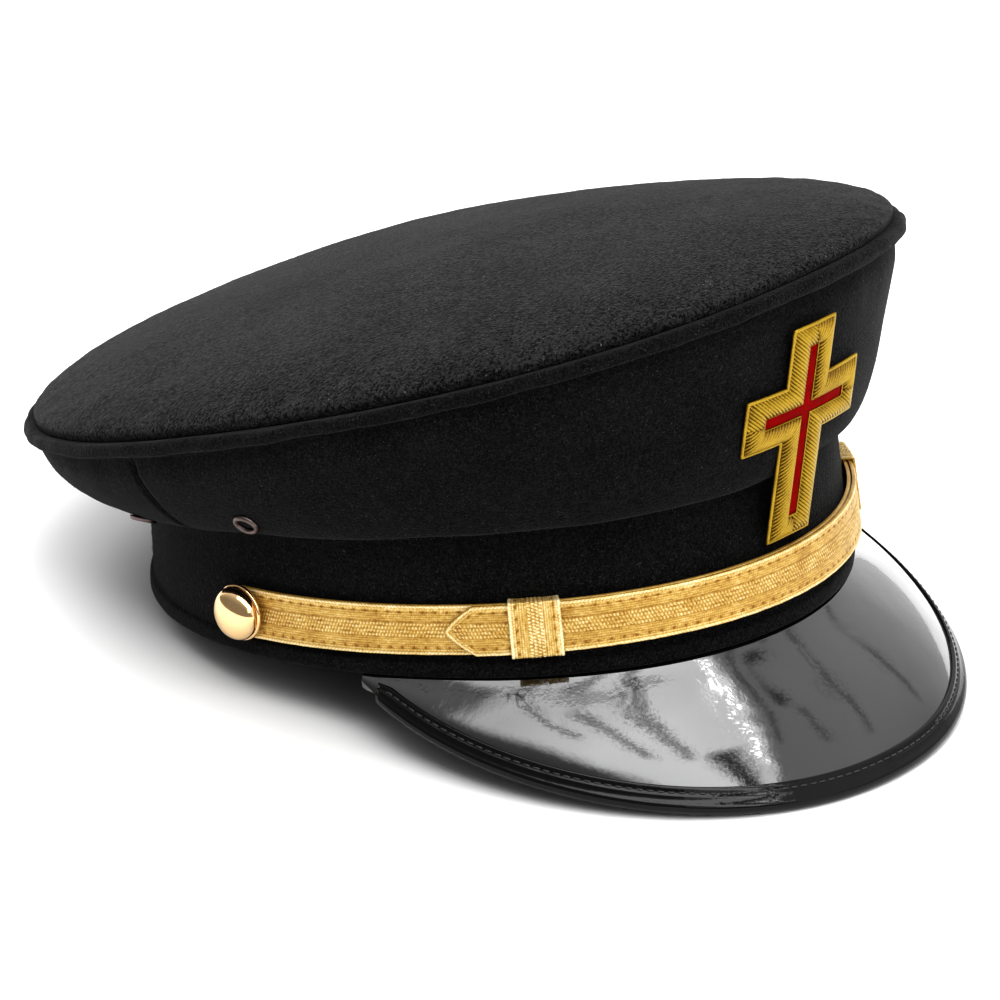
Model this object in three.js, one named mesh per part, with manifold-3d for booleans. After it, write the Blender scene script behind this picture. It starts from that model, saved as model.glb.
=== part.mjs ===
// A military fatigue cap: a cloth head band with a wide, sagging crown over it, a
// patent leather visor, a gold lace chin strap on two gilt buttons, and an
// embroidered Passion cross. Millimetres, +Z up, visor towards -Y.
// The cap is drawn upright on the plane of its head band, then laid down on the
// floor as it rests: on the front of the visor and the back of the band.

import * as THREE from "three";
import { mergeVertices } from "three/addons/utils/BufferGeometryUtils.js";
import Module from "manifold-3d";

const wasm = await Module();
wasm.setup();

// Head band
const BAND_LENGTH = 206;
const BAND_WIDTH = 181;
const BAND_WALL = 2.6;
const BAND_OVAL_POWER = 2.03;
const BAND_REAR_WIDENING = 0.1;
const BAND_SHOWING = 38.2;
const BAND_FRONT_RISE = 6.8;
const BAND_HEM_HEIGHT = 5;
const BAND_HEM_SWELL = 1;
const BAND_FLARE = 1.4;

// Crown side, from the band up to the welt round the top
const CROWN_LENGTH = 255;
const CROWN_WIDTH = 222;
const CROWN_BACK_SHIFT = 4.9;
const CROWN_OVAL_POWER = 2.27;
const CROWN_REAR_WIDENING = 0.11;
const CROWN_HEIGHT = 79.3;
const CROWN_FRONT_RISE = 28.9;
const CROWN_END_SAG = 2.3;
const CROWN_SIDE_SAG = 5.5;
const CLOTH = 2;
const SIDE_SEAM_TURN = 102;
const SEAT_RISE = 3;
const BAND_TOP_MARGIN = 2;

const CROWN_ROLL = 17;

// Section of the crown side in front, at the sides and behind. The first middle point
// of its curve lies a share of the way out to the rim and a share of the roll below
// the seat; the second lies shares of the way out and up from the seat to the rim.
const SIDE_SECTIONS = [
  { rollOut: 0.5, rollDrop: 0.51, upperOut: 0.59, upperUp: 0.41 },
  { rollOut: 0.3, rollDrop: 0.43, upperOut: 0.75, upperUp: 0.23 },
  { rollOut: 0.63, rollDrop: 1.0, upperOut: 1.03, upperUp: 0.78 },
];

// Welt and dome of the crown top
const WELT_HEIGHT = 4.2;
const WELT_DEPTH = 3.4;
const WELT_SWELL = 1.1;
const DOME_RISE = 10.5;
const DOME_EDGE = 7;

// Ventilation eyelets in the crown side
const EYELET_DIAMETER = 8;
const EYELET_HOLE = 4.6;
const EYELET_METAL = 0.5;
const EYELET_BARREL = 4;
const EYELETS = {
  front: { turn: 90, share: 0.5 },
  rear: { turn: 113, share: 0.32 },
};

// Chin strap of two lace pieces that overlap across the front
const STRAP_WIDTH = 14.4;
const STRAP_THICK = 1.2;
const STRAP_CENTRE_HEIGHT = 13.7;
const STRAP_FRONT_RISE = 2.2;
const STRAP_TIP_LENGTH = 8;
const STRAP_TIP_TURN = 63;
const STRAP_JOG_TURN = 7;
const KEEPER_LENGTH = 14;
const KEEPER_THICK = 0.8;
const KEEPER_TURN = 49;

// Dome buttons at the strap's ends
const BUTTON_TURN = 98;
const BUTTON_DIAMETER = 16;
const BUTTON_DOME = 5;
const BUTTON_BACK = 2;
const BUTTON_GROOVE = 0.6;
const SHANK_DIAMETER = 5;

// Passion cross
const CROSS_HEIGHT = 68;
const CROSS_SPAN = 46.4;
const CROSS_ARM = 17.6;
const CROSS_ARM_HEIGHT = 41;
const CROSS_FOOT_HEIGHT = 27;
const CROSS_THICK = 2.4;
const CROSS_BORDER = 6.8;
const CORE_RISE = 0.5;

// Visor
const VISOR_TURN = 79;
const VISOR_REACH = 35.5;
const VISOR_FORWARD_SHARE = 0.09;
const VISOR_DROP = 36.5;
const VISOR_EDGE_POWER = 2.25;
const VISOR_BOW = 3;
const VISOR_THICK = 2;
const VISOR_TIP_REACH = 1.5;
const VISOR_BINDING = 5.4;
const BINDING_WALL = 1;
const BINDING_FIRST_REACH = 4.5;
const BINDING_LEAF_SHARE = 0.6;

// Clearance between neighbouring pieces
const GAP = 0.3;

// Divisions round the cap
const TURN_STEP = 6;

const WOOL = { color: 0x232325, roughness: 0.95, metalness: 0 };
const FACINGS = {
  wool: new THREE.MeshStandardMaterial(WOOL),
  welt: new THREE.MeshStandardMaterial({ color: 0x303032, roughness: 0.95, metalness: 0 }),
  lace: new THREE.MeshStandardMaterial({ color: 0xd9ab55, roughness: 0.5, metalness: 0.6 }),
  gilt: new THREE.MeshStandardMaterial({ color: 0xe8b54a, roughness: 0.12, metalness: 1 }),
  steel: new THREE.MeshStandardMaterial({ color: 0x9a918e, roughness: 0.4, metalness: 1 }),
  bullion: new THREE.MeshStandardMaterial({ color: 0xd8b12a, roughness: 0.45, metalness: 0.5 }),
  thread: new THREE.MeshStandardMaterial({ color: 0xb00d10, roughness: 0.7, metalness: 0 }),
  patent: new THREE.MeshStandardMaterial({ color: 0x08080a, roughness: 0.06, metalness: 0 }),
};

const radians = THREE.MathUtils.degToRad;
const mix = THREE.MathUtils.lerp;

// A turn is measured from the middle of the front, in degrees, positive to +X.
function ovalPoint(turn, halfLength, halfWidth, power) {
  const angle = radians(turn);
  const across = Math.sign(Math.sin(angle)) * Math.abs(Math.sin(angle)) ** (2 / power);
  const along = Math.sign(Math.cos(angle)) * Math.abs(Math.cos(angle)) ** (2 / power);
  return new THREE.Vector2(across * halfWidth, -along * halfLength);
}

// Outside of the head band, or a line that follows it at a distance
function bandPoint(turn, outward, height) {
  const oval = ovalPoint(turn, BAND_LENGTH / 2 + outward, BAND_WIDTH / 2 + outward, BAND_OVAL_POWER);
  const widening = 1 + BAND_REAR_WIDENING * oval.y / (BAND_LENGTH / 2);
  return new THREE.Vector3(oval.x * widening, oval.y, height);
}

// Surface that the rim of the crown top lies in: high at the front, sagging at
// the ends and the sides
function crownLevel(x, y) {
  const alongShare = y / (CROWN_LENGTH / 2);
  const acrossShare = x / (CROWN_WIDTH / 2);
  return CROWN_HEIGHT - CROWN_FRONT_RISE * alongShare
    - CROWN_END_SAG * alongShare ** 2 - CROWN_SIDE_SAG * acrossShare ** 2;
}

// Rim of the crown, or a line that follows it at a share of its size
function crownPoint(turn, share, outward) {
  const oval = ovalPoint(turn, CROWN_LENGTH / 2, CROWN_WIDTH / 2, CROWN_OVAL_POWER);
  const widening = 1 + CROWN_REAR_WIDENING * oval.y / (CROWN_LENGTH / 2);
  const flat = new THREE.Vector2(oval.x * widening, oval.y);
  flat.multiplyScalar(share * (1 + outward / flat.length()));
  const y = flat.y + CROWN_BACK_SHIFT;
  return new THREE.Vector3(flat.x, y, crownLevel(flat.x, y));
}

// How far the band's wall leans out towards its lower edge
function bandFlare(height) {
  return BAND_FLARE * Math.max(0, 1 - height / BAND_SHOWING) ** 2;
}

// Height on the band at which the crown side hides it
function bandShowingHeight(turn) {
  const y = bandPoint(turn, 0, 0).y;
  return BAND_SHOWING - BAND_FRONT_RISE * y / (BAND_LENGTH / 2);
}

// How much a turn belongs to the back of the cap: 0 in front, 1 behind
function backShare(turn) {
  return (1 - Math.cos(radians(turn))) / 2;
}

// Geometry from a grid of outer points and one of inner points, closed round its
// edges. The grid is wrapped where it runs all the way round.
function closedSheet(outer, inner, wrapped) {
  const columns = outer.length;
  const rows = outer[0].length;
  const positions = [];
  for (const grid of [outer, inner]) {
    for (const column of grid) {
      for (const point of column) positions.push(point.x, point.y, point.z);
    }
  }
  const at = (layer, column, row) => (layer * columns + (column % columns)) * rows + row;
  const triangles = [];
  const quad = (a, b, c, d) => triangles.push(a, b, c, a, c, d);
  const spans = wrapped ? columns : columns - 1;
  for (let column = 0; column < spans; column++) {
    for (let row = 0; row < rows - 1; row++) {
      quad(at(0, column, row), at(0, column + 1, row), at(0, column + 1, row + 1), at(0, column, row + 1));
      quad(at(1, column, row), at(1, column, row + 1), at(1, column + 1, row + 1), at(1, column + 1, row));
    }
    quad(at(0, column, 0), at(1, column, 0), at(1, column + 1, 0), at(0, column + 1, 0));
    const last = rows - 1;
    quad(at(0, column, last), at(0, column + 1, last), at(1, column + 1, last), at(1, column, last));
  }
  if (!wrapped) {
    const end = columns - 1;
    for (let row = 0; row < rows - 1; row++) {
      quad(at(0, 0, row), at(0, 0, row + 1), at(1, 0, row + 1), at(1, 0, row));
      quad(at(0, end, row), at(1, end, row), at(1, end, row + 1), at(0, end, row + 1));
    }
  }
  return facingOut(tidied(positions, triangles));
}

// Points that coincide become one, and triangles that shrank to a line go
function tidied(positions, triangles) {
  const raw = new THREE.BufferGeometry();
  raw.setAttribute("position", new THREE.Float32BufferAttribute(positions, 3));
  raw.setIndex(triangles);
  const merged = mergeVertices(raw, 1e-3);
  const index = merged.getIndex().array;
  const kept = [];
  for (let i = 0; i < index.length; i += 3) {
    const [a, b, c] = [index[i], index[i + 1], index[i + 2]];
    if (a !== b && b !== c && a !== c) kept.push(a, b, c);
  }
  merged.setIndex(kept);
  return merged;
}

function enclosedVolume(geometry) {
  const position = geometry.getAttribute("position");
  const index = geometry.getIndex().array;
  const [a, b, c] = [new THREE.Vector3(), new THREE.Vector3(), new THREE.Vector3()];
  let volume = 0;
  for (let i = 0; i < index.length; i += 3) {
    a.fromBufferAttribute(position, index[i]);
    b.fromBufferAttribute(position, index[i + 1]);
    c.fromBufferAttribute(position, index[i + 2]);
    volume += a.dot(b.cross(c)) / 6;
  }
  return volume;
}

function facingOut(geometry) {
  if (enclosedVolume(geometry) > 0) return geometry;
  const index = geometry.getIndex().array;
  const reversed = [];
  for (let i = 0; i < index.length; i += 3) reversed.push(index[i], index[i + 2], index[i + 1]);
  geometry.setIndex(reversed);
  return geometry;
}

// Grid of points by column round the cap and row along the section
function grid(columnValues, rowValues, pointAt) {
  return columnValues.map((turn) => rowValues.map((share) => pointAt(turn, share)));
}

function turnsAround() {
  const count = Math.round(360 / TURN_STEP);
  return Array.from({ length: count }, (_, i) => -180 + 360 * i / count);
}

function turnsBetween(start, end, step = TURN_STEP) {
  const count = Math.max(2, Math.ceil((end - start) / step));
  return Array.from({ length: count + 1 }, (_, i) => mix(start, end, i / count));
}

function shares(count) {
  return Array.from({ length: count + 1 }, (_, i) => i / count);
}

// Surface direction at a turn and share, from points a little to each side
function surfaceNormal(pointAt, turn, share) {
  const step = 0.01;
  const around = pointAt(turn + step * 10, share).sub(pointAt(turn - step * 10, share));
  const along = pointAt(turn, share + step).sub(pointAt(turn, share - step));
  return around.cross(along).normalize();
}

function toSolid(geometry) {
  const bare = new THREE.BufferGeometry();
  bare.setAttribute("position", geometry.getAttribute("position").clone());
  if (geometry.getIndex()) bare.setIndex(geometry.getIndex().clone());
  const merged = mergeVertices(bare, 1e-3);
  const vertProperties = new Float32Array(merged.getAttribute("position").array);
  const triVerts = new Uint32Array(merged.getIndex().array);
  return new wasm.Manifold(new wasm.Mesh({ numProp: 3, vertProperties, triVerts }));
}

function fromSolid(solid) {
  const mesh = solid.getMesh();
  const geometry = new THREE.BufferGeometry();
  geometry.setAttribute("position", new THREE.Float32BufferAttribute(mesh.vertProperties, 3));
  geometry.setIndex(Array.from(mesh.triVerts));
  return geometry;
}

// Geometry with round holes driven through it; each hole has a place and a direction
function pierced(geometry, holes, diameter, length) {
  let solid = toSolid(geometry);
  for (const hole of holes) {
    const drill = new THREE.CylinderGeometry(diameter / 2, diameter / 2, length, 16);
    drill.applyQuaternion(new THREE.Quaternion().setFromUnitVectors(new THREE.Vector3(0, 1, 0), hole.direction));
    drill.translate(hole.place.x, hole.place.y, hole.place.z);
    solid = solid.subtract(toSolid(drill));
  }
  return fromSolid(solid);
}

// Head band: a plain wall with a turned hem, its top edge inside the crown
function bandTop(turn) {
  return bandShowingHeight(turn) + SEAT_RISE + BAND_TOP_MARGIN;
}

function headBand() {
  const heights = [0, 0.12, 0.5, 0.88, 1].map((share) => share * BAND_HEM_HEIGHT);
  const rows = [...heights.map((_, i) => i), heights.length, heights.length + 1];
  const heightAt = (turn, row) => {
    if (row < heights.length) return heights[row];
    return mix(BAND_HEM_HEIGHT, bandTop(turn), (row - heights.length + 1) / 2);
  };
  const outside = (turn, row) => {
    const height = heightAt(turn, row);
    const inHem = Math.max(0, 1 - (2 * height / BAND_HEM_HEIGHT - 1) ** 4);
    return bandPoint(turn, bandFlare(height) + BAND_HEM_SWELL * Math.sqrt(inHem), height);
  };
  const inside = (turn, row) => {
    const height = heightAt(turn, row);
    return bandPoint(turn, bandFlare(height) - BAND_WALL, height);
  };
  const turns = turnsAround();
  return closedSheet(grid(turns, rows, outside), grid(turns, rows, inside), true);
}

// Crown side, at a share of the way up its section from the band to the welt
function crownSidePoint(turn, share) {
  const place = backShare(turn) * (SIDE_SECTIONS.length - 1);
  const before = Math.min(Math.floor(place), SIDE_SECTIONS.length - 2);
  const section = {};
  for (const key of Object.keys(SIDE_SECTIONS[0])) {
    section[key] = mix(SIDE_SECTIONS[before][key], SIDE_SECTIONS[before + 1][key], place - before);
  }
  const seat = bandPoint(turn, GAP, bandShowingHeight(turn) + SEAT_RISE);
  const rim = crownPoint(turn, 1, 0);
  rim.z -= WELT_HEIGHT + GAP;
  const roll = seat.clone().lerp(rim, section.rollOut);
  roll.z = seat.z - section.rollDrop * CROWN_ROLL;
  const upper = seat.clone().lerp(rim, section.upperOut);
  upper.z = mix(seat.z, rim.z, section.upperUp);
  return cubic(seat, roll, upper, rim, share);
}

function cubic(a, b, c, d, share) {
  const rest = 1 - share;
  return new THREE.Vector3()
    .addScaledVector(a, rest ** 3)
    .addScaledVector(b, 3 * rest ** 2 * share)
    .addScaledVector(c, 3 * rest * share ** 2)
    .addScaledVector(d, share ** 3);
}

// The panel's lower end stands upright against the band, and its upper end lies
// level under the welt.
function crownSideInside(turn, share) {
  const point = crownSidePoint(turn, share);
  if (share === 0) return point.setZ(point.z + CLOTH);
  if (share === 1) return crownPoint(turn, 1, -CLOTH).setZ(point.z);
  return point.addScaledVector(surfaceNormal(crownSidePoint, turn, share), -CLOTH);
}

// Place of an eyelet at a turn and a share of the way up the crown side
function eyeletSeat(turn, share) {
  const place = crownSidePoint(turn, share);
  const direction = surfaceNormal(crownSidePoint, turn, share);
  return { place, direction };
}

function crownSide(start, end, eyeletSeats) {
  const rows = [0, 0.12, 0.22, 0.34, 0.48, 0.64, 0.82, 1];
  const turns = turnsBetween(start, end);
  const panel = closedSheet(grid(turns, rows, crownSidePoint), grid(turns, rows, crownSideInside), false);
  const hole = EYELET_HOLE + 2 * (EYELET_METAL + GAP);
  return pierced(panel, eyeletSeats, hole, EYELET_BARREL * 2);
}

// Eyelet: a rolled metal rim outside the cloth and a barrel through it
function eyelet() {
  const inner = EYELET_HOLE / 2;
  const outer = EYELET_DIAMETER / 2;
  const top = GAP + 2 * EYELET_METAL;
  const profile = [
    [inner, -EYELET_BARREL],
    [inner + EYELET_METAL, -EYELET_BARREL],
    [inner + EYELET_METAL, GAP],
    [outer, GAP],
    [outer - EYELET_METAL / 2, GAP + EYELET_METAL],
    [(inner + outer) / 2, top],
    [inner, GAP + EYELET_METAL],
    [inner, -EYELET_BARREL],
  ];
  return turned(profile, 12);
}

function turned(profile, sides) {
  const points = profile.map(([radius, height]) => new THREE.Vector2(radius, height));
  const lathe = new THREE.LatheGeometry(points, sides);
  const positions = Array.from(lathe.getAttribute("position").array);
  return facingOut(tidied(positions, Array.from(lathe.getIndex().array)));
}

// Piping of the same cloth between the crown side and the crown top
function crownWelt() {
  const place = (turn, outward, share) => {
    const point = crownPoint(turn, 1, outward);
    point.z = crownPoint(turn, 1, 0).z - WELT_HEIGHT * (1 - share);
    return point;
  };
  const outside = (turn, share) => place(turn, WELT_SWELL * Math.sqrt(1 - (2 * share - 1) ** 2), share);
  const inside = (turn, share) => place(turn, WELT_SWELL - WELT_DEPTH, share);
  const rows = [0, 0.12, 0.5, 0.88, 1];
  const turns = turnsAround();
  return closedSheet(grid(turns, rows, outside), grid(turns, rows, inside), true);
}

// Crown top: a low dome with a rounded edge that stands on the welt
function crownTop() {
  const layer = (turn, share, thickness) => {
    const point = crownPoint(turn, share, -thickness);
    const edge = (DOME_EDGE - thickness) * Math.sqrt(1 - share ** 12);
    const level = crownPoint(turn, share, 0).z;
    return point.setZ(level + GAP + edge + DOME_RISE * (1 - share ** 2));
  };
  const rows = [1, 0.995, 0.97, 0.92, 0.84, 0.7, 0.5, 0.26, 0];
  const turns = turnsAround();
  const outside = grid(turns, rows, (turn, share) => layer(turn, share, 0));
  const inside = grid(turns, rows, (turn, share) => layer(turn, share, CLOTH));
  return closedSheet(outside, inside, true);
}

// Chin strap. The layer nearest the band leaves room for the keepers' backs.
const STRAP_SEAT = GAP + KEEPER_THICK + GAP;
const STRAP_LAYER = STRAP_THICK + GAP;

function strapPoint(turn, outward, across) {
  const y = bandPoint(turn, 0, 0).y;
  const centre = STRAP_CENTRE_HEIGHT - STRAP_FRONT_RISE * y / (BAND_LENGTH / 2);
  return bandPoint(turn, bandFlare(centre + across) + outward, centre + across);
}

function lengthPerDegree(turn) {
  return strapPoint(turn + 0.5, 0, 0).distanceTo(strapPoint(turn - 0.5, 0, 0));
}

// One lace piece from its button round to its pointed tip. The side is -1 or 1 for
// the button's side; the piece on top steps down to the band past the other's tip.
function strapPiece(side, onTop) {
  const endTurn = BUTTON_TURN + STRAP_WIDTH / 2 / lengthPerDegree(BUTTON_TURN);
  const tipTurns = STRAP_TIP_LENGTH / lengthPerDegree(STRAP_TIP_TURN);
  const along = [
    ...turnsBetween(-STRAP_TIP_TURN, -STRAP_TIP_TURN + tipTurns, 3),
    ...turnsBetween(-STRAP_TIP_TURN + tipTurns, BUTTON_TURN, TURN_STEP).slice(1),
    ...turnsBetween(BUTTON_TURN, endTurn, 0.8).slice(1),
  ];
  const halfWidth = (turn) => {
    const fromTip = (turn + STRAP_TIP_TURN) / tipTurns;
    const pastButton = Math.max(0, turn - BUTTON_TURN) / (endTurn - BUTTON_TURN);
    const pointed = Math.min(1, Math.max(0, fromTip) ** 0.7);
    return STRAP_WIDTH / 2 * pointed * Math.sqrt(Math.max(0, 1 - pastButton ** 2));
  };
  const lift = (turn) => {
    if (!onTop) return STRAP_SEAT;
    const down = THREE.MathUtils.smoothstep(turn, STRAP_TIP_TURN + 1, STRAP_TIP_TURN + 1 + STRAP_JOG_TURN);
    return STRAP_SEAT + STRAP_LAYER * (1 - down);
  };
  const rows = [-1, 1];
  const face = (thickness) => (turn, row) =>
    strapPoint(side * turn, lift(turn) + thickness, row * halfWidth(turn));
  const piece = closedSheet(grid(along, rows, face(STRAP_THICK)), grid(along, rows, face(0)), false);
  return pierced(piece, [buttonSeat(side)], SHANK_DIAMETER + 2 * GAP, 4 * (STRAP_SEAT + STRAP_THICK));
}

// Keeper: a flat lace loop round both strap pieces
function keeper(side) {
  const halfTurn = KEEPER_LENGTH / 2 / lengthPerDegree(KEEPER_TURN);
  const along = turnsBetween(side * KEEPER_TURN - halfTurn, side * KEEPER_TURN + halfTurn, halfTurn);
  const layer = (inset) => {
    const low = GAP + inset;
    const high = STRAP_SEAT + 2 * STRAP_LAYER + KEEPER_THICK - inset;
    const half = STRAP_WIDTH / 2 + GAP + KEEPER_THICK - inset;
    const round = (KEEPER_THICK + GAP - inset) / 2;
    return [
      [low + round, -half], [high - round, -half], [high, round - half], [high, half - round],
      [high - round, half], [low + round, half], [low, half - round], [low, round - half],
    ];
  };
  const place = (corners) => corners.map(([outward, across]) =>
    along.map((turn) => strapPoint(turn, outward, across)));
  return closedSheet(place(layer(0)), place(layer(KEEPER_THICK)), true);
}

// Button: a high polished dome over a turned back plate, on a shank
function buttonSeat(side) {
  const turn = side * BUTTON_TURN;
  const place = strapPoint(turn, 0, 0);
  const around = strapPoint(turn + 1, 0, 0).sub(strapPoint(turn - 1, 0, 0));
  const upward = strapPoint(turn, 0, STRAP_WIDTH / 2).sub(strapPoint(turn, 0, -STRAP_WIDTH / 2));
  const direction = around.cross(upward).normalize();
  return { place, direction };
}

function button() {
  const radius = BUTTON_DIAMETER / 2;
  const plate = STRAP_SEAT + STRAP_THICK + GAP;
  const brow = plate + BUTTON_BACK;
  const profile = [
    [0, GAP],
    [SHANK_DIAMETER / 2, GAP],
    [SHANK_DIAMETER / 2, plate],
    [radius - BUTTON_GROOVE, plate],
    [radius, plate + BUTTON_GROOVE],
    [radius, brow - BUTTON_GROOVE],
    [radius - BUTTON_GROOVE, brow],
  ];
  for (let i = 0; i <= 6; i++) {
    const angle = Math.PI / 2 * i / 6;
    profile.push([radius * Math.cos(angle), brow + BUTTON_GROOVE / 2 + BUTTON_DOME * Math.sin(angle)]);
  }
  return turned(profile, 16);
}

// Passion cross: it leans on the front of the crown side and hangs over the band.
// Across and up are measured on its face, from the middle of its foot.
function crossLean() {
  const foot = bandPoint(0, GAP, CROSS_FOOT_HEIGHT);
  const rim = crownPoint(0, 1, 0);
  return Math.atan2(foot.y - rim.y, rim.z - WELT_HEIGHT - foot.z);
}

// Where a line round the front of the cap passes a given distance from the middle
function pointAcross(lineAt, across) {
  let low = -80;
  let high = 80;
  for (let i = 0; i < 30; i++) {
    const turn = (low + high) / 2;
    if (lineAt(turn).x < across) low = turn;
    else high = turn;
  }
  return lineAt(low);
}

function crossPoint(across, up, outward) {
  const lean = crossLean();
  const rim = (turn) => crownPoint(turn, 1, 0);
  const sag = pointAcross(rim, across).y - rim(0).y;
  const foot = bandPoint(0, GAP, CROSS_FOOT_HEIGHT);
  const y = foot.y + sag - up * Math.sin(lean) - outward * Math.cos(lean);
  return new THREE.Vector3(across, y, foot.z + up * Math.cos(lean) - outward * Math.sin(lean));
}

// How far out the cross has to stand so that it clears the roll of the crown side
function crossStandoff() {
  const lean = crossLean();
  let standoff = 0;
  for (const across of shares(4).map((share) => share * CROSS_SPAN / 2)) {
    for (const share of shares(20)) {
      const side = pointAcross((turn) => crownSidePoint(turn, share), across);
      const up = (side.z - CROSS_FOOT_HEIGHT) / Math.cos(lean);
      const behind = crossPoint(across, up, 0).y - side.y;
      standoff = Math.max(standoff, behind * Math.cos(lean));
    }
  }
  return standoff + GAP;
}

// A plate made of the cells of a grid that belong to it, bent by the given function
function cellPlate(columns, rows, holdsCell, pointAt) {
  const positions = [];
  for (const layer of [0, 1]) {
    for (const column of columns) {
      for (const row of rows) {
        const point = pointAt(column, row, layer);
        positions.push(point.x, point.y, point.z);
      }
    }
  }
  const at = (layer, i, j) => (layer * columns.length + i) * rows.length + j;
  const holds = (i, j) => {
    if (i < 0 || j < 0 || i >= columns.length - 1 || j >= rows.length - 1) return false;
    return holdsCell((columns[i] + columns[i + 1]) / 2, (rows[j] + rows[j + 1]) / 2);
  };
  const triangles = [];
  const quad = (a, b, c, d) => triangles.push(a, b, c, a, c, d);
  for (let i = 0; i < columns.length - 1; i++) {
    for (let j = 0; j < rows.length - 1; j++) {
      if (!holds(i, j)) continue;
      quad(at(0, i, j), at(0, i, j + 1), at(0, i + 1, j + 1), at(0, i + 1, j));
      quad(at(1, i, j), at(1, i + 1, j), at(1, i + 1, j + 1), at(1, i, j + 1));
      if (!holds(i, j - 1)) quad(at(0, i, j), at(0, i + 1, j), at(1, i + 1, j), at(1, i, j));
      if (!holds(i, j + 1)) quad(at(0, i, j + 1), at(1, i, j + 1), at(1, i + 1, j + 1), at(0, i + 1, j + 1));
      if (!holds(i - 1, j)) quad(at(0, i, j), at(1, i, j), at(1, i, j + 1), at(0, i, j + 1));
      if (!holds(i + 1, j)) quad(at(0, i + 1, j), at(0, i + 1, j + 1), at(1, i + 1, j + 1), at(1, i + 1, j));
    }
  }
  return facingOut(tidied(positions, triangles));
}

// The cross less a margin all round
function inCross(across, up, margin) {
  const side = Math.abs(across);
  const inUpright = side < CROSS_ARM / 2 - margin && up > margin && up < CROSS_HEIGHT - margin;
  const inArms = side < CROSS_SPAN / 2 - margin && Math.abs(up - CROSS_ARM_HEIGHT) < CROSS_ARM / 2 - margin;
  return inUpright || inArms;
}

function crossPlate(holdsCell, margins, thickness) {
  const columns = [0];
  const rows = [0.25, 0.5].map((share) => share * CROSS_ARM_HEIGHT);
  for (const margin of margins) {
    for (const half of [CROSS_ARM / 2 - margin, CROSS_SPAN / 2 - margin]) columns.push(-half, half);
    rows.push(margin, CROSS_HEIGHT - margin);
    rows.push(CROSS_ARM_HEIGHT - CROSS_ARM / 2 + margin, CROSS_ARM_HEIGHT + CROSS_ARM / 2 - margin);
  }
  columns.sort((a, b) => a - b);
  rows.sort((a, b) => a - b);
  const standoff = crossStandoff();
  return cellPlate(columns, rows, holdsCell, (across, up, layer) =>
    crossPoint(across, up, standoff + layer * thickness));
}

function crossBullion() {
  const holds = (across, up) => inCross(across, up, 0) && !inCross(across, up, CROSS_BORDER);
  return crossPlate(holds, [0, CROSS_BORDER], CROSS_THICK);
}

function crossCore() {
  const margin = CROSS_BORDER + GAP;
  return crossPlate((across, up) => inCross(across, up, margin), [margin], CROSS_THICK + CORE_RISE);
}

// Visor. Its share runs from the seam under the band (0) to its outer edge (1),
// and down to -1 over the allowance that the band stands on.
function visorFullness(turn) {
  return Math.max(0, 1 - Math.abs(turn / VISOR_TURN) ** VISOR_EDGE_POWER);
}

function visorPoint(turn, share) {
  if (share <= 0) return bandPoint(turn, BAND_FLARE + share * (BAND_WALL - GAP), -GAP);
  const fullness = visorFullness(turn);
  const seam = bandPoint(turn, BAND_FLARE, -GAP);
  const outward = bandPoint(turn, 1, 0).sub(bandPoint(turn, 0, 0)).normalize();
  const reach = outward.clone().multiplyScalar(1 - VISOR_FORWARD_SHARE);
  reach.y -= VISOR_FORWARD_SHARE;
  reach.multiplyScalar(VISOR_REACH - BAND_FLARE);
  reach.z = -VISOR_DROP;
  const point = seam.addScaledVector(reach, share * fullness);
  const bow = 4 * VISOR_BOW * share * (1 - share) * fullness;
  const lift = outward.multiplyScalar(VISOR_DROP).setZ(VISOR_REACH).normalize();
  return point.addScaledVector(lift, bow);
}

// Upward direction of the visor's face. Towards the tips, where the visor is narrow,
// it turns upright.
function visorUp(turn, share) {
  const upright = new THREE.Vector3(0, 0, 1);
  const slope = surfaceNormal(visorPoint, turn, share).negate();
  const breadth = THREE.MathUtils.smoothstep(visorFullness(turn), 0.02, 0.14);
  return upright.lerp(slope, breadth).normalize();
}

// Turn at which the visor has a given reach
function visorTurnAt(reach) {
  return VISOR_TURN * (1 - reach / VISOR_REACH) ** (1 / VISOR_EDGE_POWER);
}

function visor() {
  const rows = [-1, 0, 0.2, 0.42, 0.64, 0.84, 1];
  const tip = visorTurnAt(VISOR_TIP_REACH);
  const bound = boundTurns();
  const last = bound.at(-1);
  const turns = [...turnsBetween(-tip, -last), ...bound.slice(1), ...turnsBetween(last, tip).slice(1)];
  const under = (turn, share) =>
    visorPoint(turn, share).addScaledVector(visorUp(turn, share), -VISOR_THICK);
  return closedSheet(grid(turns, rows, visorPoint), grid(turns, rows, under), false);
}

// Turns along which the edge is bound: where the visor has come far enough out from
// under the band
function boundTurns() {
  const last = visorTurnAt(BINDING_FIRST_REACH);
  return turnsBetween(-last, last);
}

// Binding: a leather strip folded round the visor's edge
function visorBinding() {
  const sections = boundTurns().map((turn) => bindingSection(turn));
  const outer = sections.map((section) => section(GAP + BINDING_WALL));
  const inner = sections.map((section) => section(GAP));
  return closedSheet(outer, inner, false);
}

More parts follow.
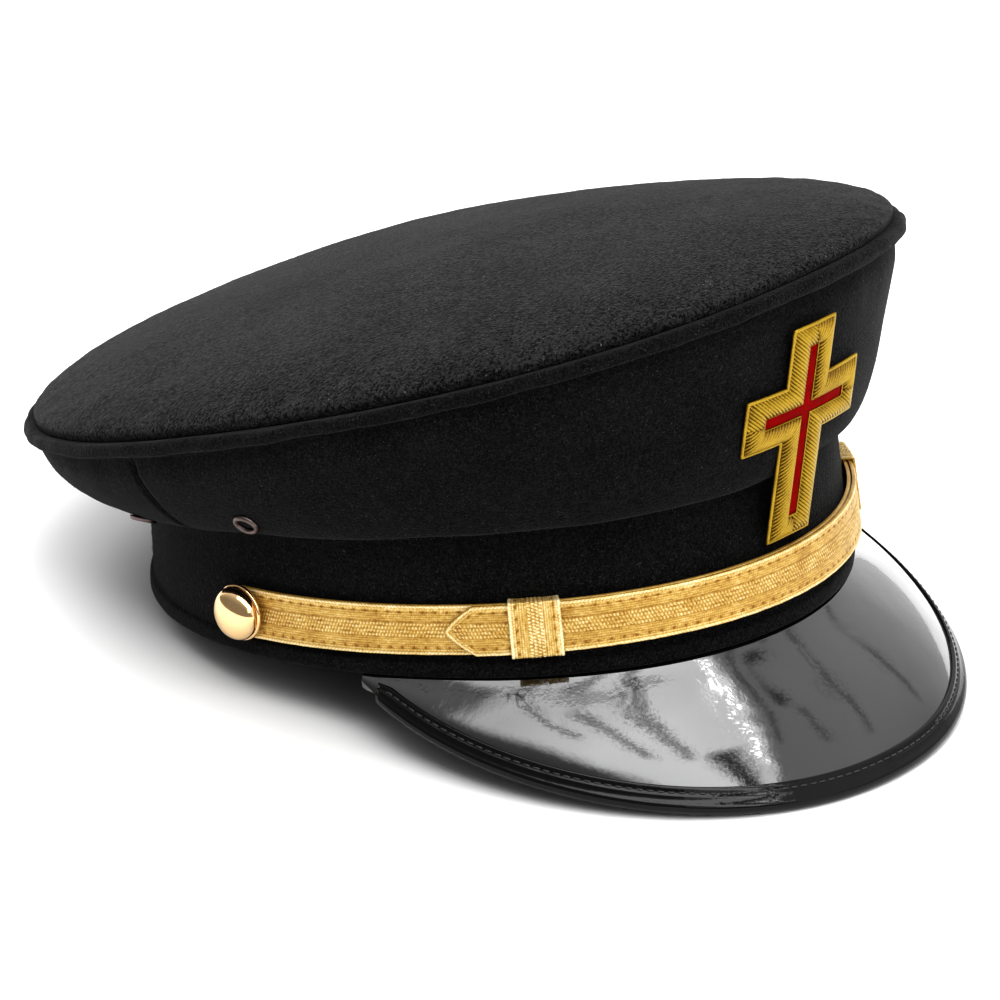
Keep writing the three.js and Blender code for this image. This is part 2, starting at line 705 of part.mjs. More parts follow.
function bindingSection(turn) {
  const length = visorPoint(turn, 1).distanceTo(visorPoint(turn, 0));
  const leaf = Math.min(VISOR_BINDING, BINDING_LEAF_SHARE * length) / length;
  const nearEdge = 0.98;
  const edge = visorPoint(turn, 1);
  const outward = edge.clone().sub(visorPoint(turn, nearEdge)).normalize();
  const up = visorUp(turn, nearEdge);
  const middle = edge.clone().addScaledVector(up, -VISOR_THICK / 2);
  return (offset) => {
    const points = [];
    for (const share of [1 - leaf, 1 - leaf / 2]) {
      points.push(visorPoint(turn, share).addScaledVector(visorUp(turn, share), offset));
    }
    const radius = VISOR_THICK / 2 + offset;
    for (const degrees of [90, 45, 0, -45, -90]) {
      const angle = radians(degrees);
      points.push(middle.clone()
        .addScaledVector(up, radius * Math.sin(angle))
        .addScaledVector(outward, radius * Math.cos(angle)));
    }
    for (const share of [1 - leaf / 2, 1 - leaf]) {
      const below = -VISOR_THICK - offset;
      points.push(visorPoint(turn, share).addScaledVector(visorUp(turn, share), below));
    }
    return points;
  };
}

const cap = new THREE.Group();

function add(name, geometry, material) {
  const mesh = new THREE.Mesh(geometry, material);
  mesh.name = name;
  cap.add(mesh);
  return mesh;
}

add("band", headBand(), FACINGS.wool);
const eyeletPair = ({ turn, share }) => [-1, 1].map((side) => eyeletSeat(side * turn, share));
const seamTurn = SIDE_SEAM_TURN;
const seamGap = GAP / lengthPerDegree(seamTurn);
const frontPanel = crownSide(-seamTurn, seamTurn, eyeletPair(EYELETS.front));
const backPanel = crownSide(seamTurn + seamGap, 360 - seamTurn - seamGap, eyeletPair(EYELETS.rear));
add("crown_side_front", frontPanel, FACINGS.wool);
add("crown_side_back", backPanel, FACINGS.wool);
add("crown_welt", crownWelt(), FACINGS.welt);
add("crown_top", crownTop(), FACINGS.wool);

const SIDES = { right: -1, left: 1 };
for (const [sideName, side] of Object.entries(SIDES)) {
  for (const [placeName, { turn, share }] of Object.entries(EYELETS)) {
    const seat = eyeletSeat(side * turn, share);
    const mesh = add(`eyelet_${sideName}_${placeName}`, eyelet(), FACINGS.steel);
    mesh.position.copy(seat.place);
    mesh.quaternion.setFromUnitVectors(new THREE.Vector3(0, 1, 0), seat.direction);
  }
  add(`strap_${sideName}`, strapPiece(side, sideName === "left"), FACINGS.lace);
  add(`keeper_${sideName}`, keeper(side), FACINGS.lace);
  const seat = buttonSeat(side);
  const dome = add(`button_${sideName}`, button(), FACINGS.gilt);
  dome.position.copy(seat.place);
  dome.quaternion.setFromUnitVectors(new THREE.Vector3(0, 1, 0), seat.direction);
}
add("cross_bullion", crossBullion(), FACINGS.bullion);
add("cross_core", crossCore(), FACINGS.thread);
add("visor", visor(), FACINGS.patent);
add("visor_binding", visorBinding(), FACINGS.patent);

// The cap leans back until its lowest point in front and its lowest point behind
// are level, and then stands on the floor with its middle over the origin.
function lowestHeights(tilt) {
  cap.rotation.x = tilt;
  cap.updateMatrixWorld(true);
  const lowest = { front: Infinity, back: Infinity };
  const point = new THREE.Vector3();
  for (const mesh of cap.children) {
    const position = mesh.geometry.getAttribute("position");
    for (let i = 0; i < position.count; i++) {
      point.fromBufferAttribute(position, i).applyMatrix4(mesh.matrixWorld);
      const end = point.y < 0 ? "front" : "back";
      lowest[end] = Math.min(lowest[end], point.z);
    }
  }
  return lowest;
}

const tilts = { low: -Math.PI / 4, high: Math.PI / 4 };
for (let i = 0; i < 40; i++) {
  const tilt = (tilts.low + tilts.high) / 2;
  const lowest = lowestHeights(tilt);
  if (lowest.front < lowest.back) tilts.high = tilt;
  else tilts.low = tilt;
}
const box = new THREE.Box3().setFromObject(cap, true);
cap.position.set(-(box.min.x + box.max.x) / 2, -(box.min.y + box.max.y) / 2, -box.min.z);

const model = new THREE.Group();
model.add(cap);
model.updateMatrixWorld(true);

export default model;
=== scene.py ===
import math

import bmesh
import bpy
import numpy as np
from bpy.props import FloatProperty, FloatVectorProperty, IntProperty, PointerProperty
from mathutils import Matrix, Vector


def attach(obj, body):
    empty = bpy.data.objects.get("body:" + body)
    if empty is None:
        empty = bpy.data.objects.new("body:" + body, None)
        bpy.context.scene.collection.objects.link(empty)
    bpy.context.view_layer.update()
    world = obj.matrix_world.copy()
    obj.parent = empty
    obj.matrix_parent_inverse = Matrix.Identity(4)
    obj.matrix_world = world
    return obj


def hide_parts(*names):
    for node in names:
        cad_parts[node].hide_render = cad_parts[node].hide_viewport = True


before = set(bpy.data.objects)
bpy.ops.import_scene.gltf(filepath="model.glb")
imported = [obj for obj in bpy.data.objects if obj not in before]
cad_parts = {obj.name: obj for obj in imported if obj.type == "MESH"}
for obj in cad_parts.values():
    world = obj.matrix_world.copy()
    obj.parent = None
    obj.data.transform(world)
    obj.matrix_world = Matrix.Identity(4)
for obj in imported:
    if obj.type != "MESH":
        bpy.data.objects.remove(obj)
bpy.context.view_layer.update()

bl_info = {
    "name": "Fatigue cap",
    "version": (1, 0, 0),
    "blender": (4, 5, 0),
    "location": "3D View > Sidebar > Cap",
    "description": "Cloth, lace, embroidery and patent leather of a fatigue cap",
    "category": "Add Mesh",
}

# The shapes are worked out in millimetres on the plane of the head band, with the
# visor towards -Y, and are then laid down as the cap rests on the floor.
REST_TILT = math.radians(-9.3002)
REST_SHIFT = np.array([0.0, 2.48715, 16.871859])
METRES = 0.001
GAP = 0.3

BAND_LENGTH = 206
BAND_WIDTH = 181
BAND_WALL = 2.6
BAND_OVAL_POWER = 2.03
BAND_REAR_WIDENING = 0.1
BAND_SHOWING = 38.2
BAND_FRONT_RISE = 6.8
BAND_HEM_HEIGHT = 5
BAND_HEM_SWELL = 1
BAND_FLARE = 1.4

CROWN_LENGTH = 255
CROWN_WIDTH = 222
CROWN_BACK_SHIFT = 4.9
CROWN_OVAL_POWER = 2.27
CROWN_REAR_WIDENING = 0.11
CROWN_HEIGHT = 79.3
CROWN_FRONT_RISE = 28.9
CROWN_END_SAG = 2.3
CROWN_SIDE_SAG = 5.5
CLOTH = 2
SIDE_SEAM_TURN = 102
SEAT_RISE = 3
BAND_TOP_MARGIN = 2
CROWN_ROLL = 17
# Section of the crown side in front, at the sides and behind
ROLL_OUT = (0.5, 0.3, 0.63)
ROLL_DROP = (0.51, 0.43, 1.0)
UPPER_OUT = (0.59, 0.75, 1.03)
UPPER_UP = (0.41, 0.23, 0.78)

WELT_HEIGHT = 4.2
WELT_DEPTH = 3.4
WELT_SWELL = 1.1
WELT_BULGE = 1.7
DOME_RISE = 10.5
DOME_EDGE = 7
DOME_EDGE_POWER = 9

EYELET_DIAMETER = 8
EYELET_HOLE = 4.6
EYELET_BARREL = 4
EYELETS = {"front": (90, 0.5), "rear": (113, 0.32)}

STRAP_WIDTH = 14.4
STRAP_THICK = 1.2
STRAP_CENTRE_HEIGHT = 13.7
STRAP_FRONT_RISE = 2.2
STRAP_TIP_LENGTH = 8
STRAP_TIP_TURN = 63
STRAP_JOG_TURN = 7
KEEPER_LENGTH = 14
KEEPER_THICK = 0.8
KEEPER_TURN = 49
STRAP_SEAT = GAP + KEEPER_THICK + GAP
STRAP_LAYER = STRAP_THICK + GAP
LACE_RELIEF = 0.45

BUTTON_TURN = 98
BUTTON_DIAMETER = 16
BUTTON_DOME = 5
BUTTON_BACK = 2
SHANK_DIAMETER = 5

CROSS_HEIGHT = 68
CROSS_SPAN = 46.4
CROSS_ARM = 17.6
CROSS_ARM_HEIGHT = 41
CROSS_FOOT_HEIGHT = 27
CROSS_BORDER = 6.8

VISOR_TURN = 79
VISOR_REACH = 35.5
VISOR_FORWARD_SHARE = 0.09
VISOR_DROP = 36.5
VISOR_EDGE_POWER = 2.25
VISOR_BOW = 3
VISOR_THICK = 2
VISOR_TIP_REACH = 1.5
VISOR_BINDING = 5.4
BINDING_WALL = 1
BINDING_FIRST_REACH = 4.5
BINDING_LEAF_SHARE = 0.6

SIDES = {"right": -1, "left": 1}

# Ripples in the cloth, lace and leather: seed, wavelength and height
RIPPLES = {
    "top_swell": (3, 90, 0.3), "top_dents": (4, 30, 0.08), "top_pucker": (5, 9, 0.16),
    "side_swell": (11, 60, 0.5), "side_dents": (12, 24, 0.14), "side_pull": (13, 10, 0.14),
    "welt_swell": (21, 9, 0.2), "welt_wander": (22, 17, 0.22),
    "band_swell": (31, 45, 0.12), "band_dents": (32, 12, 0.05),
    "strap_right": (40, 5, 0.05), "strap_left": (41, 5, 0.05), "lace": (61, 2.2, 1),
    "visor_dents": (51, 13, 0.03), "visor_swell": (52, 40, 0.1),
}

TOP_AROUND = 300
TOP_EDGE_ROWS = 30
TOP_FLAT_ROWS = 51
TOP_TUCK = 2.3
TOP_TUCK_WIDTH = 1.7
SIDE_ROWS = 56
SIDE_STEP = 1.2
# Turns from a side seam, where the panel curls in
SEAM_TURNS = np.array([0, 0.15, 0.3, 0.45, 0.65, 0.9, 1.2, 1.6])
EYELET_RIM_RISE = 1.15
SEAM_GROOVE = 0.75
SEAM_GROOVE_WIDTH = 0.8
# Millimetres round the crown side for each degree, near a seam
SEAM_LENGTH_PER_DEGREE = 1.9
WELT_GROOVE = 2.2
WELT_GROOVE_WIDTH = 2.4
WELT_AROUND = 420
BAND_AROUND = 360
HEM_ROWS = 14
BAND_ROWS = 25

FUZZ_THICK = 0.036
FUZZ_TAPER = np.array([0.4, 1, 0.3])
FUZZ_BAND_HEIGHT = 34

LACE_POINT = 0.3
LACE_ROWS = 78
LACE_INNER_STEP = 7
SATIN_PITCH = 0.66
BEAD_PITCH = 0.98
BEAD_ROWS = (-1.62, -0.54, 0.54, 1.62)
BEAD_ROW_HALF = 0.54
HOLE_PITCH = 3.4
HOLE_INSET = 2.0
LACE_BORDER = 1.8
KEEPER_CORNER = 1.0
KEEPER_POINT = 0.26
KEEPER_ROWS = 64

BUTTON_BEAD = 0.75

EDGE_STRIP = 1.05
CORE_TOP = 1.15
THREAD_POINTS = 12
THREAD_SIDES = 10
THREAD_SPREAD = 0.74

BOW_POWER = 1.5
# Brings the highest place of the visor's bow to about one
BOW_SCALE = 5.4
# The binding's strip on the visor: place back from the edge and height
LEAF_PROFILE = ((1, 0.15), (0.99, 0.7), (0.96, 0.95), (0.88, 1.0), (0.78, 0.98),
                (0.68, 0.8), (0.6, 0.78), (0.5, 0.95), (0.42, 1.0), (0.34, 0.85))
STITCH_LENGTH = 2.2
STITCH_PITCH = 2.9
STITCH_PLACE = 0.64
STITCH_POINTS = 6


# Lines and surfaces of the cap

def signed_power(value, power):
    return np.sign(value) * np.abs(value) ** power


def points_of(x, y, z):
    return np.stack(np.broadcast_arrays(x, y, z), -1).astype(float)


def unit(vectors):
    return vectors / np.maximum(np.linalg.norm(vectors, axis=-1, keepdims=True), 1e-12)


def oval_line(turn, half_length, half_width, power):
    """X and Y of an oval; a turn is in degrees from the middle of the front."""
    angle = np.radians(turn)
    x = signed_power(np.sin(angle), 2 / power) * half_width
    return x, -signed_power(np.cos(angle), 2 / power) * half_length


def band_line(turn, outward, height):
    """A line round the head band, at a distance from its outside."""
    x, y = oval_line(turn, BAND_LENGTH / 2 + outward, BAND_WIDTH / 2 + outward, BAND_OVAL_POWER)
    return points_of(x * (1 + BAND_REAR_WIDENING * y / (BAND_LENGTH / 2)), y, height)


def crown_level(x, y):
    along = y / (CROWN_LENGTH / 2)
    across = x / (CROWN_WIDTH / 2)
    return CROWN_HEIGHT - CROWN_FRONT_RISE * along - CROWN_END_SAG * along**2 - CROWN_SIDE_SAG * across**2


def crown_line(turn, share, outward):
    """A line round the rim of the crown, at a share of its size."""
    x, y = oval_line(turn, CROWN_LENGTH / 2, CROWN_WIDTH / 2, CROWN_OVAL_POWER)
    x = x * (1 + CROWN_REAR_WIDENING * y / (CROWN_LENGTH / 2))
    scale = share * (1 + outward / np.hypot(x, y))
    x, y = x * scale, y * scale + CROWN_BACK_SHIFT
    return points_of(x, y, crown_level(x, y))


def band_flare(height):
    return BAND_FLARE * np.maximum(0, 1 - np.asarray(height) / BAND_SHOWING) ** 2


def band_showing_height(turn):
    return BAND_SHOWING - BAND_FRONT_RISE * band_line(turn, 0, 0)[..., 1] / (BAND_LENGTH / 2)


def side_surface(turn, share):
    """The crown side, from the band (0) up to the welt (1)."""
    turn, share = np.broadcast_arrays(np.asarray(turn, float), np.asarray(share, float))
    place = 1 - np.cos(np.radians(turn))
    roll_out, roll_drop, upper_out, upper_up = (
        np.interp(place, (0, 1, 2), values)[..., None]
        for values in (ROLL_OUT, ROLL_DROP, UPPER_OUT, UPPER_UP))
    seat = band_line(turn, GAP, band_showing_height(turn) + SEAT_RISE)
    rim = crown_line(turn, 1, 0)
    rim[..., 2] -= WELT_HEIGHT + GAP
    roll = seat + (rim - seat) * roll_out
    roll[..., 2] = seat[..., 2] - roll_drop[..., 0] * CROWN_ROLL
    upper = seat + (rim - seat) * upper_out
    upper[..., 2] = seat[..., 2] + (rim - seat)[..., 2] * upper_up[..., 0]
    share = share[..., None]
    rest = 1 - share
    return rest**3 * seat + 3 * rest**2 * share * roll + 3 * rest * share**2 * upper + share**3 * rim


def direction_out(surface, turn, share):
    """Direction that a surface faces, from points a little to each side."""
    step = 0.01
    around = surface(turn + 10 * step, share) - surface(turn - 10 * step, share)
    along = surface(turn, share + step) - surface(turn, share - step)
    return unit(np.cross(around, along))


def strap_line(turn, outward, across):
    """A line along the chin strap, out from the band and across the strap."""
    y = band_line(turn, 0, 0)[..., 1]
    height = STRAP_CENTRE_HEIGHT - STRAP_FRONT_RISE * y / (BAND_LENGTH / 2) + across
    return band_line(turn, band_flare(height) + outward, height)


def length_per_degree(turn):
    return float(np.linalg.norm(strap_line(turn + 0.5, 0, 0) - strap_line(turn - 0.5, 0, 0)))


def visor_fullness(turn):
    return np.maximum(0, 1 - np.abs(np.asarray(turn) / VISOR_TURN) ** VISOR_EDGE_POWER)


def visor_surface(turn, share):
    """The visor's face, from its seam under the band (0) to its edge (1)."""
    turn, share = np.broadcast_arrays(np.asarray(turn, float), np.asarray(share, float))
    inward = np.minimum(share, 0)
    seam = band_line(turn, BAND_FLARE + inward * (BAND_WALL - GAP), -GAP)
    outward = unit(band_line(turn, 1, 0) - band_line(turn, 0, 0))
    reach = outward * (1 - VISOR_FORWARD_SHARE)
    reach[..., 1] -= VISOR_FORWARD_SHARE
    reach = reach * (VISOR_REACH - BAND_FLARE)
    reach[..., 2] = -VISOR_DROP
    out = np.maximum(share, 0)
    fullness = visor_fullness(turn)
    lift = outward * VISOR_DROP
    lift[..., 2] = VISOR_REACH
    bow = VISOR_BOW * BOW_SCALE * out**BOW_POWER * (1 - out) * fullness
    return seam + reach * (out * fullness)[..., None] + unit(lift) * bow[..., None]


def visor_up(turn, share):
    """Direction that the visor's face looks in, upright at its narrow tips."""
    slope = -direction_out(visor_surface, turn, share)
    breadth = np.clip((visor_fullness(turn) - 0.02) / 0.12, 0, 1)
    breadth = (breadth**2 * (3 - 2 * breadth))[..., None]
    return unit(np.array([0, 0, 1.0]) * (1 - breadth) + slope * breadth)


def visor_turn_at(reach):
    return VISOR_TURN * (1 - reach / VISOR_REACH) ** (1 / VISOR_EDGE_POWER)


def cross_lean():
    foot = band_line(0, GAP, CROSS_FOOT_HEIGHT)
    rim = crown_line(0, 1, 0)
    return math.atan2(foot[1] - rim[1], rim[2] - WELT_HEIGHT - foot[2])


def cross_surface(across, up, outward):
    """The face of the cross, measured from the middle of its foot."""
    lean = cross_lean()
    turns = np.linspace(-60, 60, 241)
    rim = crown_line(turns, 1, 0)
    sag = np.interp(across, rim[:, 0], rim[:, 1]) - crown_line(0, 1, 0)[1]
    foot = band_line(0, GAP, CROSS_FOOT_HEIGHT)
    y = foot[1] + sag - up * math.sin(lean) - outward * math.cos(lean)
    return points_of(across, y, foot[2] + up * math.cos(lean) - outward * math.sin(lean))


def cross_standoff():
    """How far out the cross stands so that it clears the roll of the crown side."""
    lean = cross_lean()
    turns = np.linspace(-60, 60, 241)
    across = np.linspace(0, CROSS_SPAN / 2, 5)
    standoff = 0
    for share in np.linspace(0, 1, 21):
        side = side_surface(turns, share)
        y, z = (np.interp(across, side[:, 0], side[:, i]) for i in (1, 2))
        up = (z - CROSS_FOOT_HEIGHT) / math.cos(lean)
        behind = cross_surface(across, up, 0)[..., 1] - y
        standoff = max(standoff, float(behind.max()) * math.cos(lean))
    return standoff + GAP


def ripple(name, points, waves=9):
    """Smooth random swell over points, about as high as its row in the table says."""
    seed, wavelength, height = RIPPLES[name]
    random = np.random.default_rng(seed)
    total = np.zeros(points.shape[:-1])
    for _ in range(waves):
        direction = unit(random.normal(size=3)) * 2 * math.pi / (wavelength * random.uniform(0.7, 1.5))
        total += np.sin(points @ direction + random.uniform(0, 2 * math.pi))
    return total * height / math.sqrt(waves)


def lengths_along(line):
    """How far each point of a line lies from its first point, along the line."""
    return np.concatenate([[0], np.cumsum(np.linalg.norm(np.diff(line, axis=0), axis=1))])


def all_round(count):
    """Turns all round the cap, as a column."""
    return np.arange(count)[:, None] * 360 / count


def bell(distance, width):
    return np.exp(-((distance / width) ** 2))


# Meshes

def placed(points):
    """Points as the cap rests on the floor, in metres."""
    c, s = math.cos(REST_TILT), math.sin(REST_TILT)
    turn = np.array([[1, 0, 0], [0, c, -s], [0, s, c]])
    return (points @ turn.T + REST_SHIFT) * METRES


def new_piece(name, points, faces, finish, replaced=(), values=None, sharp=None):
    """A closed mesh object that rides with the cap and stands for CAD nodes."""
    mesh = bpy.data.meshes.new(name)
    mesh.from_pydata(placed(np.asarray(points).reshape(-1, 3)).tolist(), [], faces)
    for key, value in (values or {}).items():
        layer = mesh.attributes.new(key, "FLOAT", "POINT")
        layer.data.foreach_set("value", np.asarray(value, np.float32).ravel())
    work = bmesh.new()
    work.from_mesh(mesh)
    bmesh.ops.remove_doubles(work, verts=work.verts, dist=2e-6)
    bmesh.ops.dissolve_degenerate(work, edges=work.edges, dist=1e-7)
    bmesh.ops.recalc_face_normals(work, faces=work.faces)
    work.to_mesh(mesh)
    work.free()
    mesh.shade_smooth()
    if sharp:
        mesh.set_sharp_from_angle(angle=math.radians(sharp))
    mesh.materials.append(FINISHES[finish])
    piece = bpy.data.objects.new(name, mesh)
    bpy.context.scene.collection.objects.link(piece)
    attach(piece, "root")
    if replaced:
        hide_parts(*replaced)
    return piece


def wall_faces(index, closed):
    """Faces from each ring of points to the next, and from the last to the first if closed."""
    near = index if closed else index[:-1]
    far = np.roll(index, -1, 0) if closed else index[1:]
    return np.stack([near, far, np.roll(far, -1, 1), np.roll(near, -1, 1)], -1).reshape(-1, 4).tolist()


def ring_faces(columns, count, wrapped):
    """Faces through rings of points. Open ends are closed across the ring."""
    index = np.arange(columns * count).reshape(columns, count)
    faces = wall_faces(index, wrapped)
    if not wrapped:
        left = np.arange(count // 2 - 1)
        right = count - 1 - left
        for ring in (index[0], index[-1][::-1]):
            faces += np.stack([ring[left], ring[left + 1], ring[right - 1], ring[right]], -1).tolist()
    return faces


def shell(name, outer, inner, wrapped, *details, **more):
    """A sheet with a thickness, from its outer and inner grids of points."""
    rings = np.concatenate([outer, inner[:, ::-1]], 1)
    return new_piece(name, rings, ring_faces(*rings.shape[:2], wrapped), *details, **more)


def grid_normals(points, wrapped):
    if wrapped:
        around = np.roll(points, -1, 0) - np.roll(points, 1, 0)
    else:
        around = np.gradient(points, axis=0)
    return unit(np.cross(around, np.gradient(points, axis=1)))


def tubes(paths, up, wide, tall, sides, closed=False):
    """Points and faces of like tubes along paths, wide across and tall along up."""
    count, steps = paths.shape[:2]
    if closed:
        along = np.roll(paths, -1, 1) - np.roll(paths, 1, 1)
    else:
        along = np.gradient(paths, axis=1)
    across = unit(np.cross(unit(along), up))
    wide, tall = (np.broadcast_to(size, (count, steps))[..., None, None] for size in (wide, tall))
    angles = np.arange(sides) * 2 * math.pi / sides
    ring = (across[:, :, None] * np.cos(angles)[None, None, :, None] * wide
            + up[:, :, None] * np.sin(angles)[None, None, :, None] * tall)
    points = (paths[:, :, None] + ring).reshape(-1, 3)
    faces = []
    for i in range(count):
        faces += tube_faces(steps, sides, i * steps * sides, closed)
    return points, faces


def tube_faces(steps, sides, start, closed):
    index = start + np.arange(steps * sides).reshape(steps, sides)
    faces = wall_faces(index, closed)
    if not closed:
        faces += [index[0].tolist(), index[-1][::-1].tolist()]
    return faces


def turned(name, profile, sides, seat, *details, **more):
    """A piece turned about the line out of its seat, from (radius, height) points."""
    place, direction = seat
    side = unit(np.cross(direction, [0, 0, 1.0]))
    top = np.cross(side, direction)
    angles = np.arange(sides) * 2 * math.pi / sides
    around = np.cos(angles)[:, None] * side + np.sin(angles)[:, None] * top
    radius, height = np.array(profile, float).T
    rings = place + around[:, None] * radius[None, :, None] + direction * height[None, :, None]
    return new_piece(name, rings, ring_faces(*rings.shape[:2], True), *details, **more)


# Finishes

def wire(tree, socket, value):
    if isinstance(value, bpy.types.NodeSocket):
        tree.links.new(value, socket)
    else:
        socket.default_value = value


def node(tree, kind, inputs=(), **settings):
    made = tree.nodes.new(kind)
    for key, value in settings.items():
        setattr(made, key, value)
    for key, value in dict(inputs).items():
        wire(tree, made.inputs[key], value)
    return made


def calc(tree, operation, first, second, third=None):
    inputs = {0: first, 1: second}
    if third is not None:
        inputs[2] = third
    return node(tree, "ShaderNodeMath", inputs, operation=operation).outputs[0]


def noise(tree, vector, scale, detail=3.0, roughness=0.5, distortion=0.0):
    inputs = {"Vector": vector, "Scale": scale, "Detail": detail,
              "Roughness": roughness, "Distortion": distortion}
    return node(tree, "ShaderNodeTexNoise", inputs).outputs[0]


def spread(tree, value, low, high, to_low=0.0, to_high=1.0):
    inputs = {0: value, 1: low, 2: high, 3: to_low, 4: to_high}
    return node(tree, "ShaderNodeMapRange", inputs).outputs[0]


def tint(tree, share, first, second):
    return node(tree, "ShaderNodeMix", {0: share, 6: first, 7: second}, data_type="RGBA").outputs[2]


def here(tree):
    return node(tree, "ShaderNodeTexCoord").outputs["Object"]


def effect(name, inputs, outputs):
    """A shader node group with named sockets; returns its tree, inputs and a finisher."""
    tree = bpy.data.node_groups.new(name, "ShaderNodeTree")
    kinds = {"colour": "NodeSocketColor", "value": "NodeSocketFloat"}
    for label, (kind, default) in inputs.items():
        socket = tree.interface.new_socket(label, in_out="INPUT", socket_type=kinds[kind])
        socket.default_value = default
    for label, kind in outputs.items():
        tree.interface.new_socket(label, in_out="OUTPUT", socket_type=kinds[kind])
    entry = tree.nodes.new("NodeGroupInput")
    leave = tree.nodes.new("NodeGroupOutput")
    return tree, entry.outputs, lambda label, value: wire(tree, leave.inputs[label], value)


def placed_effect(tree, name, **values):
    made = tree.nodes.new("ShaderNodeGroup")
    made.node_tree = bpy.data.node_groups[name]
    for label, value in values.items():
        wire(tree, made.inputs[label], value)
    return made.outputs


def finish_of(name, constants, surface, bump=0.3, depth=0.0005):
    """A material: constants on the shader, and a function that gives what varies."""
    made = bpy.data.materials.new(name)
    made.use_nodes = True
    tree = made.node_tree
    shader = tree.nodes["Principled BSDF"]
    for label, value in constants.items():
        shader.inputs[label].default_value = value
    varied = surface(tree)
    height = varied.pop("Height", None)
    if height is not None:
        inputs = {"Height": height, "Strength": bump, "Distance": depth}
        varied["Normal"] = node(tree, "ShaderNodeBump", inputs).outputs[0]
    for label, value in varied.items():
        wire(tree, shader.inputs[label], value)
    return made


def make_wool_effect():
    inputs = {"Dark": ("colour", (0.008, 0.008, 0.009, 1)), "Light": ("colour", (0.03, 0.03, 0.032, 1)),
              "Fibre": ("value", 900.0), "Lint": ("value", 0.5)}
    outputs = {"Colour": "colour", "Roughness": "value", "Height": "value"}
    tree, given, give = effect("Fulled wool", inputs, outputs)
    place = here(tree)
    fibre = noise(tree, place, given["Fibre"], 2, 0.65, 0.6)
    clump = noise(tree, place, calc(tree, "MULTIPLY", given["Fibre"], 0.4), 3, 0.6, 0.6)
    cloud = noise(tree, place, 38, 2, 0.5)
    pile = calc(tree, "MULTIPLY_ADD", clump, 0.25, calc(tree, "MULTIPLY", fibre, 0.9))
    shade = calc(tree, "ADD", pile, spread(tree, cloud, 0.3, 0.7, -0.03, 0.03))
    colour = tint(tree, spread(tree, shade, 0.48, 0.68), given["Dark"], given["Light"])
    speck = noise(tree, place, calc(tree, "MULTIPLY", given["Fibre"], 0.8), 1, 0.5, 3.0)
    lint = calc(tree, "MULTIPLY", spread(tree, speck, 0.69, 0.76), given["Lint"])
    colour = tint(tree, lint, colour, (0.16, 0.16, 0.165, 1))
    give("Colour", colour)
    give("Roughness", spread(tree, fibre, 0.2, 0.8, 0.82, 1.0))
    give("Height", pile)


def make_thread_effect():
    inputs = {"Hollow": ("colour", (0.3, 0.14, 0.02, 1)), "Thread": ("colour", (0.8, 0.5, 0.14, 1)),
              "Glint": ("colour", (1.0, 0.85, 0.5, 1)), "Relief": ("value", 0.5),
              "Spread": ("value", 0.16), "Grain": ("value", 1800.0)}
    outputs = {"Colour": "colour", "Roughness": "value", "Height": "value"}
    tree, given, give = effect("Metal thread", inputs, outputs)
    place = here(tree)
    grain = noise(tree, place, given["Grain"], 2, 0.6, 0.8)
    patch = noise(tree, place, 160, 3, 0.55)
    fleck = calc(tree, "MULTIPLY", spread(tree, grain, 0.3, 0.7, -1, 1), given["Spread"])
    lit = calc(tree, "ADD", given["Relief"], fleck)
    lit = calc(tree, "ADD", lit, spread(tree, patch, 0.3, 0.7, -0.1, 0.1))
    # Painted light: the colour runs from painted shade in the hollows, through the thread colour, to a
    # painted highlight on raised tops. It follows the relief, with random flecks and patches.
    colour = tint(tree, spread(tree, lit, 0.1, 0.55), given["Hollow"], given["Thread"])
    give("Colour", tint(tree, spread(tree, lit, 0.56, 0.96), colour, given["Glint"]))
    give("Roughness", spread(tree, grain, 0.2, 0.8, 0.26, 0.46))
    give("Height", grain)


def make_metal_effect():
    inputs = {"Metal": ("colour", (0.9, 0.66, 0.28, 1)), "Dull": ("colour", (0.6, 0.38, 0.12, 1)),
              "Polish": ("value", 0.08), "Wear": ("value", 0.3)}
    outputs = {"Colour": "colour", "Roughness": "value", "Height": "value"}
    tree, given, give = effect("Handled metal", inputs, outputs)
    place = here(tree)
    smear = noise(tree, place, 220, 4, 0.6, 1.0)
    scratch = noise(tree, place, 2400, 2, 0.5, 0.2)
    worn = calc(tree, "MULTIPLY", spread(tree, smear, 0.45, 0.75), given["Wear"])
    give("Colour", tint(tree, worn, given["Metal"], given["Dull"]))
    give("Roughness", calc(tree, "MULTIPLY_ADD", worn, 0.3, given["Polish"]))
    give("Height", calc(tree, "MULTIPLY_ADD", smear, 0.7, calc(tree, "MULTIPLY", scratch, 0.05)))


def make_patent_effect():
    inputs = {"Leather": ("colour", (0.006, 0.006, 0.007, 1)), "Dust": ("colour", (0.09, 0.09, 0.095, 1)),
              "Gloss": ("value", 0.04), "Creasing": ("value", 0.5)}
    outputs = {"Colour": "colour", "Roughness": "value", "Height": "value"}
    tree, given, give = effect("Patent gloss", inputs, outputs)
    place = here(tree)
    swell = noise(tree, place, 36, 2, 0.45, 0.4)
    crease = noise(tree, place, 120, 2, 0.5, 1.2)
    smear = noise(tree, place, 60, 5, 0.65, 2.0)
    dusty = spread(tree, smear, 0.58, 0.85, 0.0, 0.12)
    give("Colour", tint(tree, dusty, given["Leather"], given["Dust"]))
    give("Roughness", calc(tree, "MULTIPLY_ADD", dusty, 0.6, given["Gloss"]))
    pebble = noise(tree, place, 900, 2, 0.6)
    creased = calc(tree, "MULTIPLY", calc(tree, "MULTIPLY", crease, 0.2), given["Creasing"])
    give("Height", calc(tree, "MULTIPLY_ADD", pebble, 0.05, calc(tree, "ADD", swell, creased)))


# The relief attribute sets where the metal thread effect paints shade and highlight.
def relief_here(tree):
    return node(tree, "ShaderNodeAttribute", attribute_name="relief").outputs["Fac"]


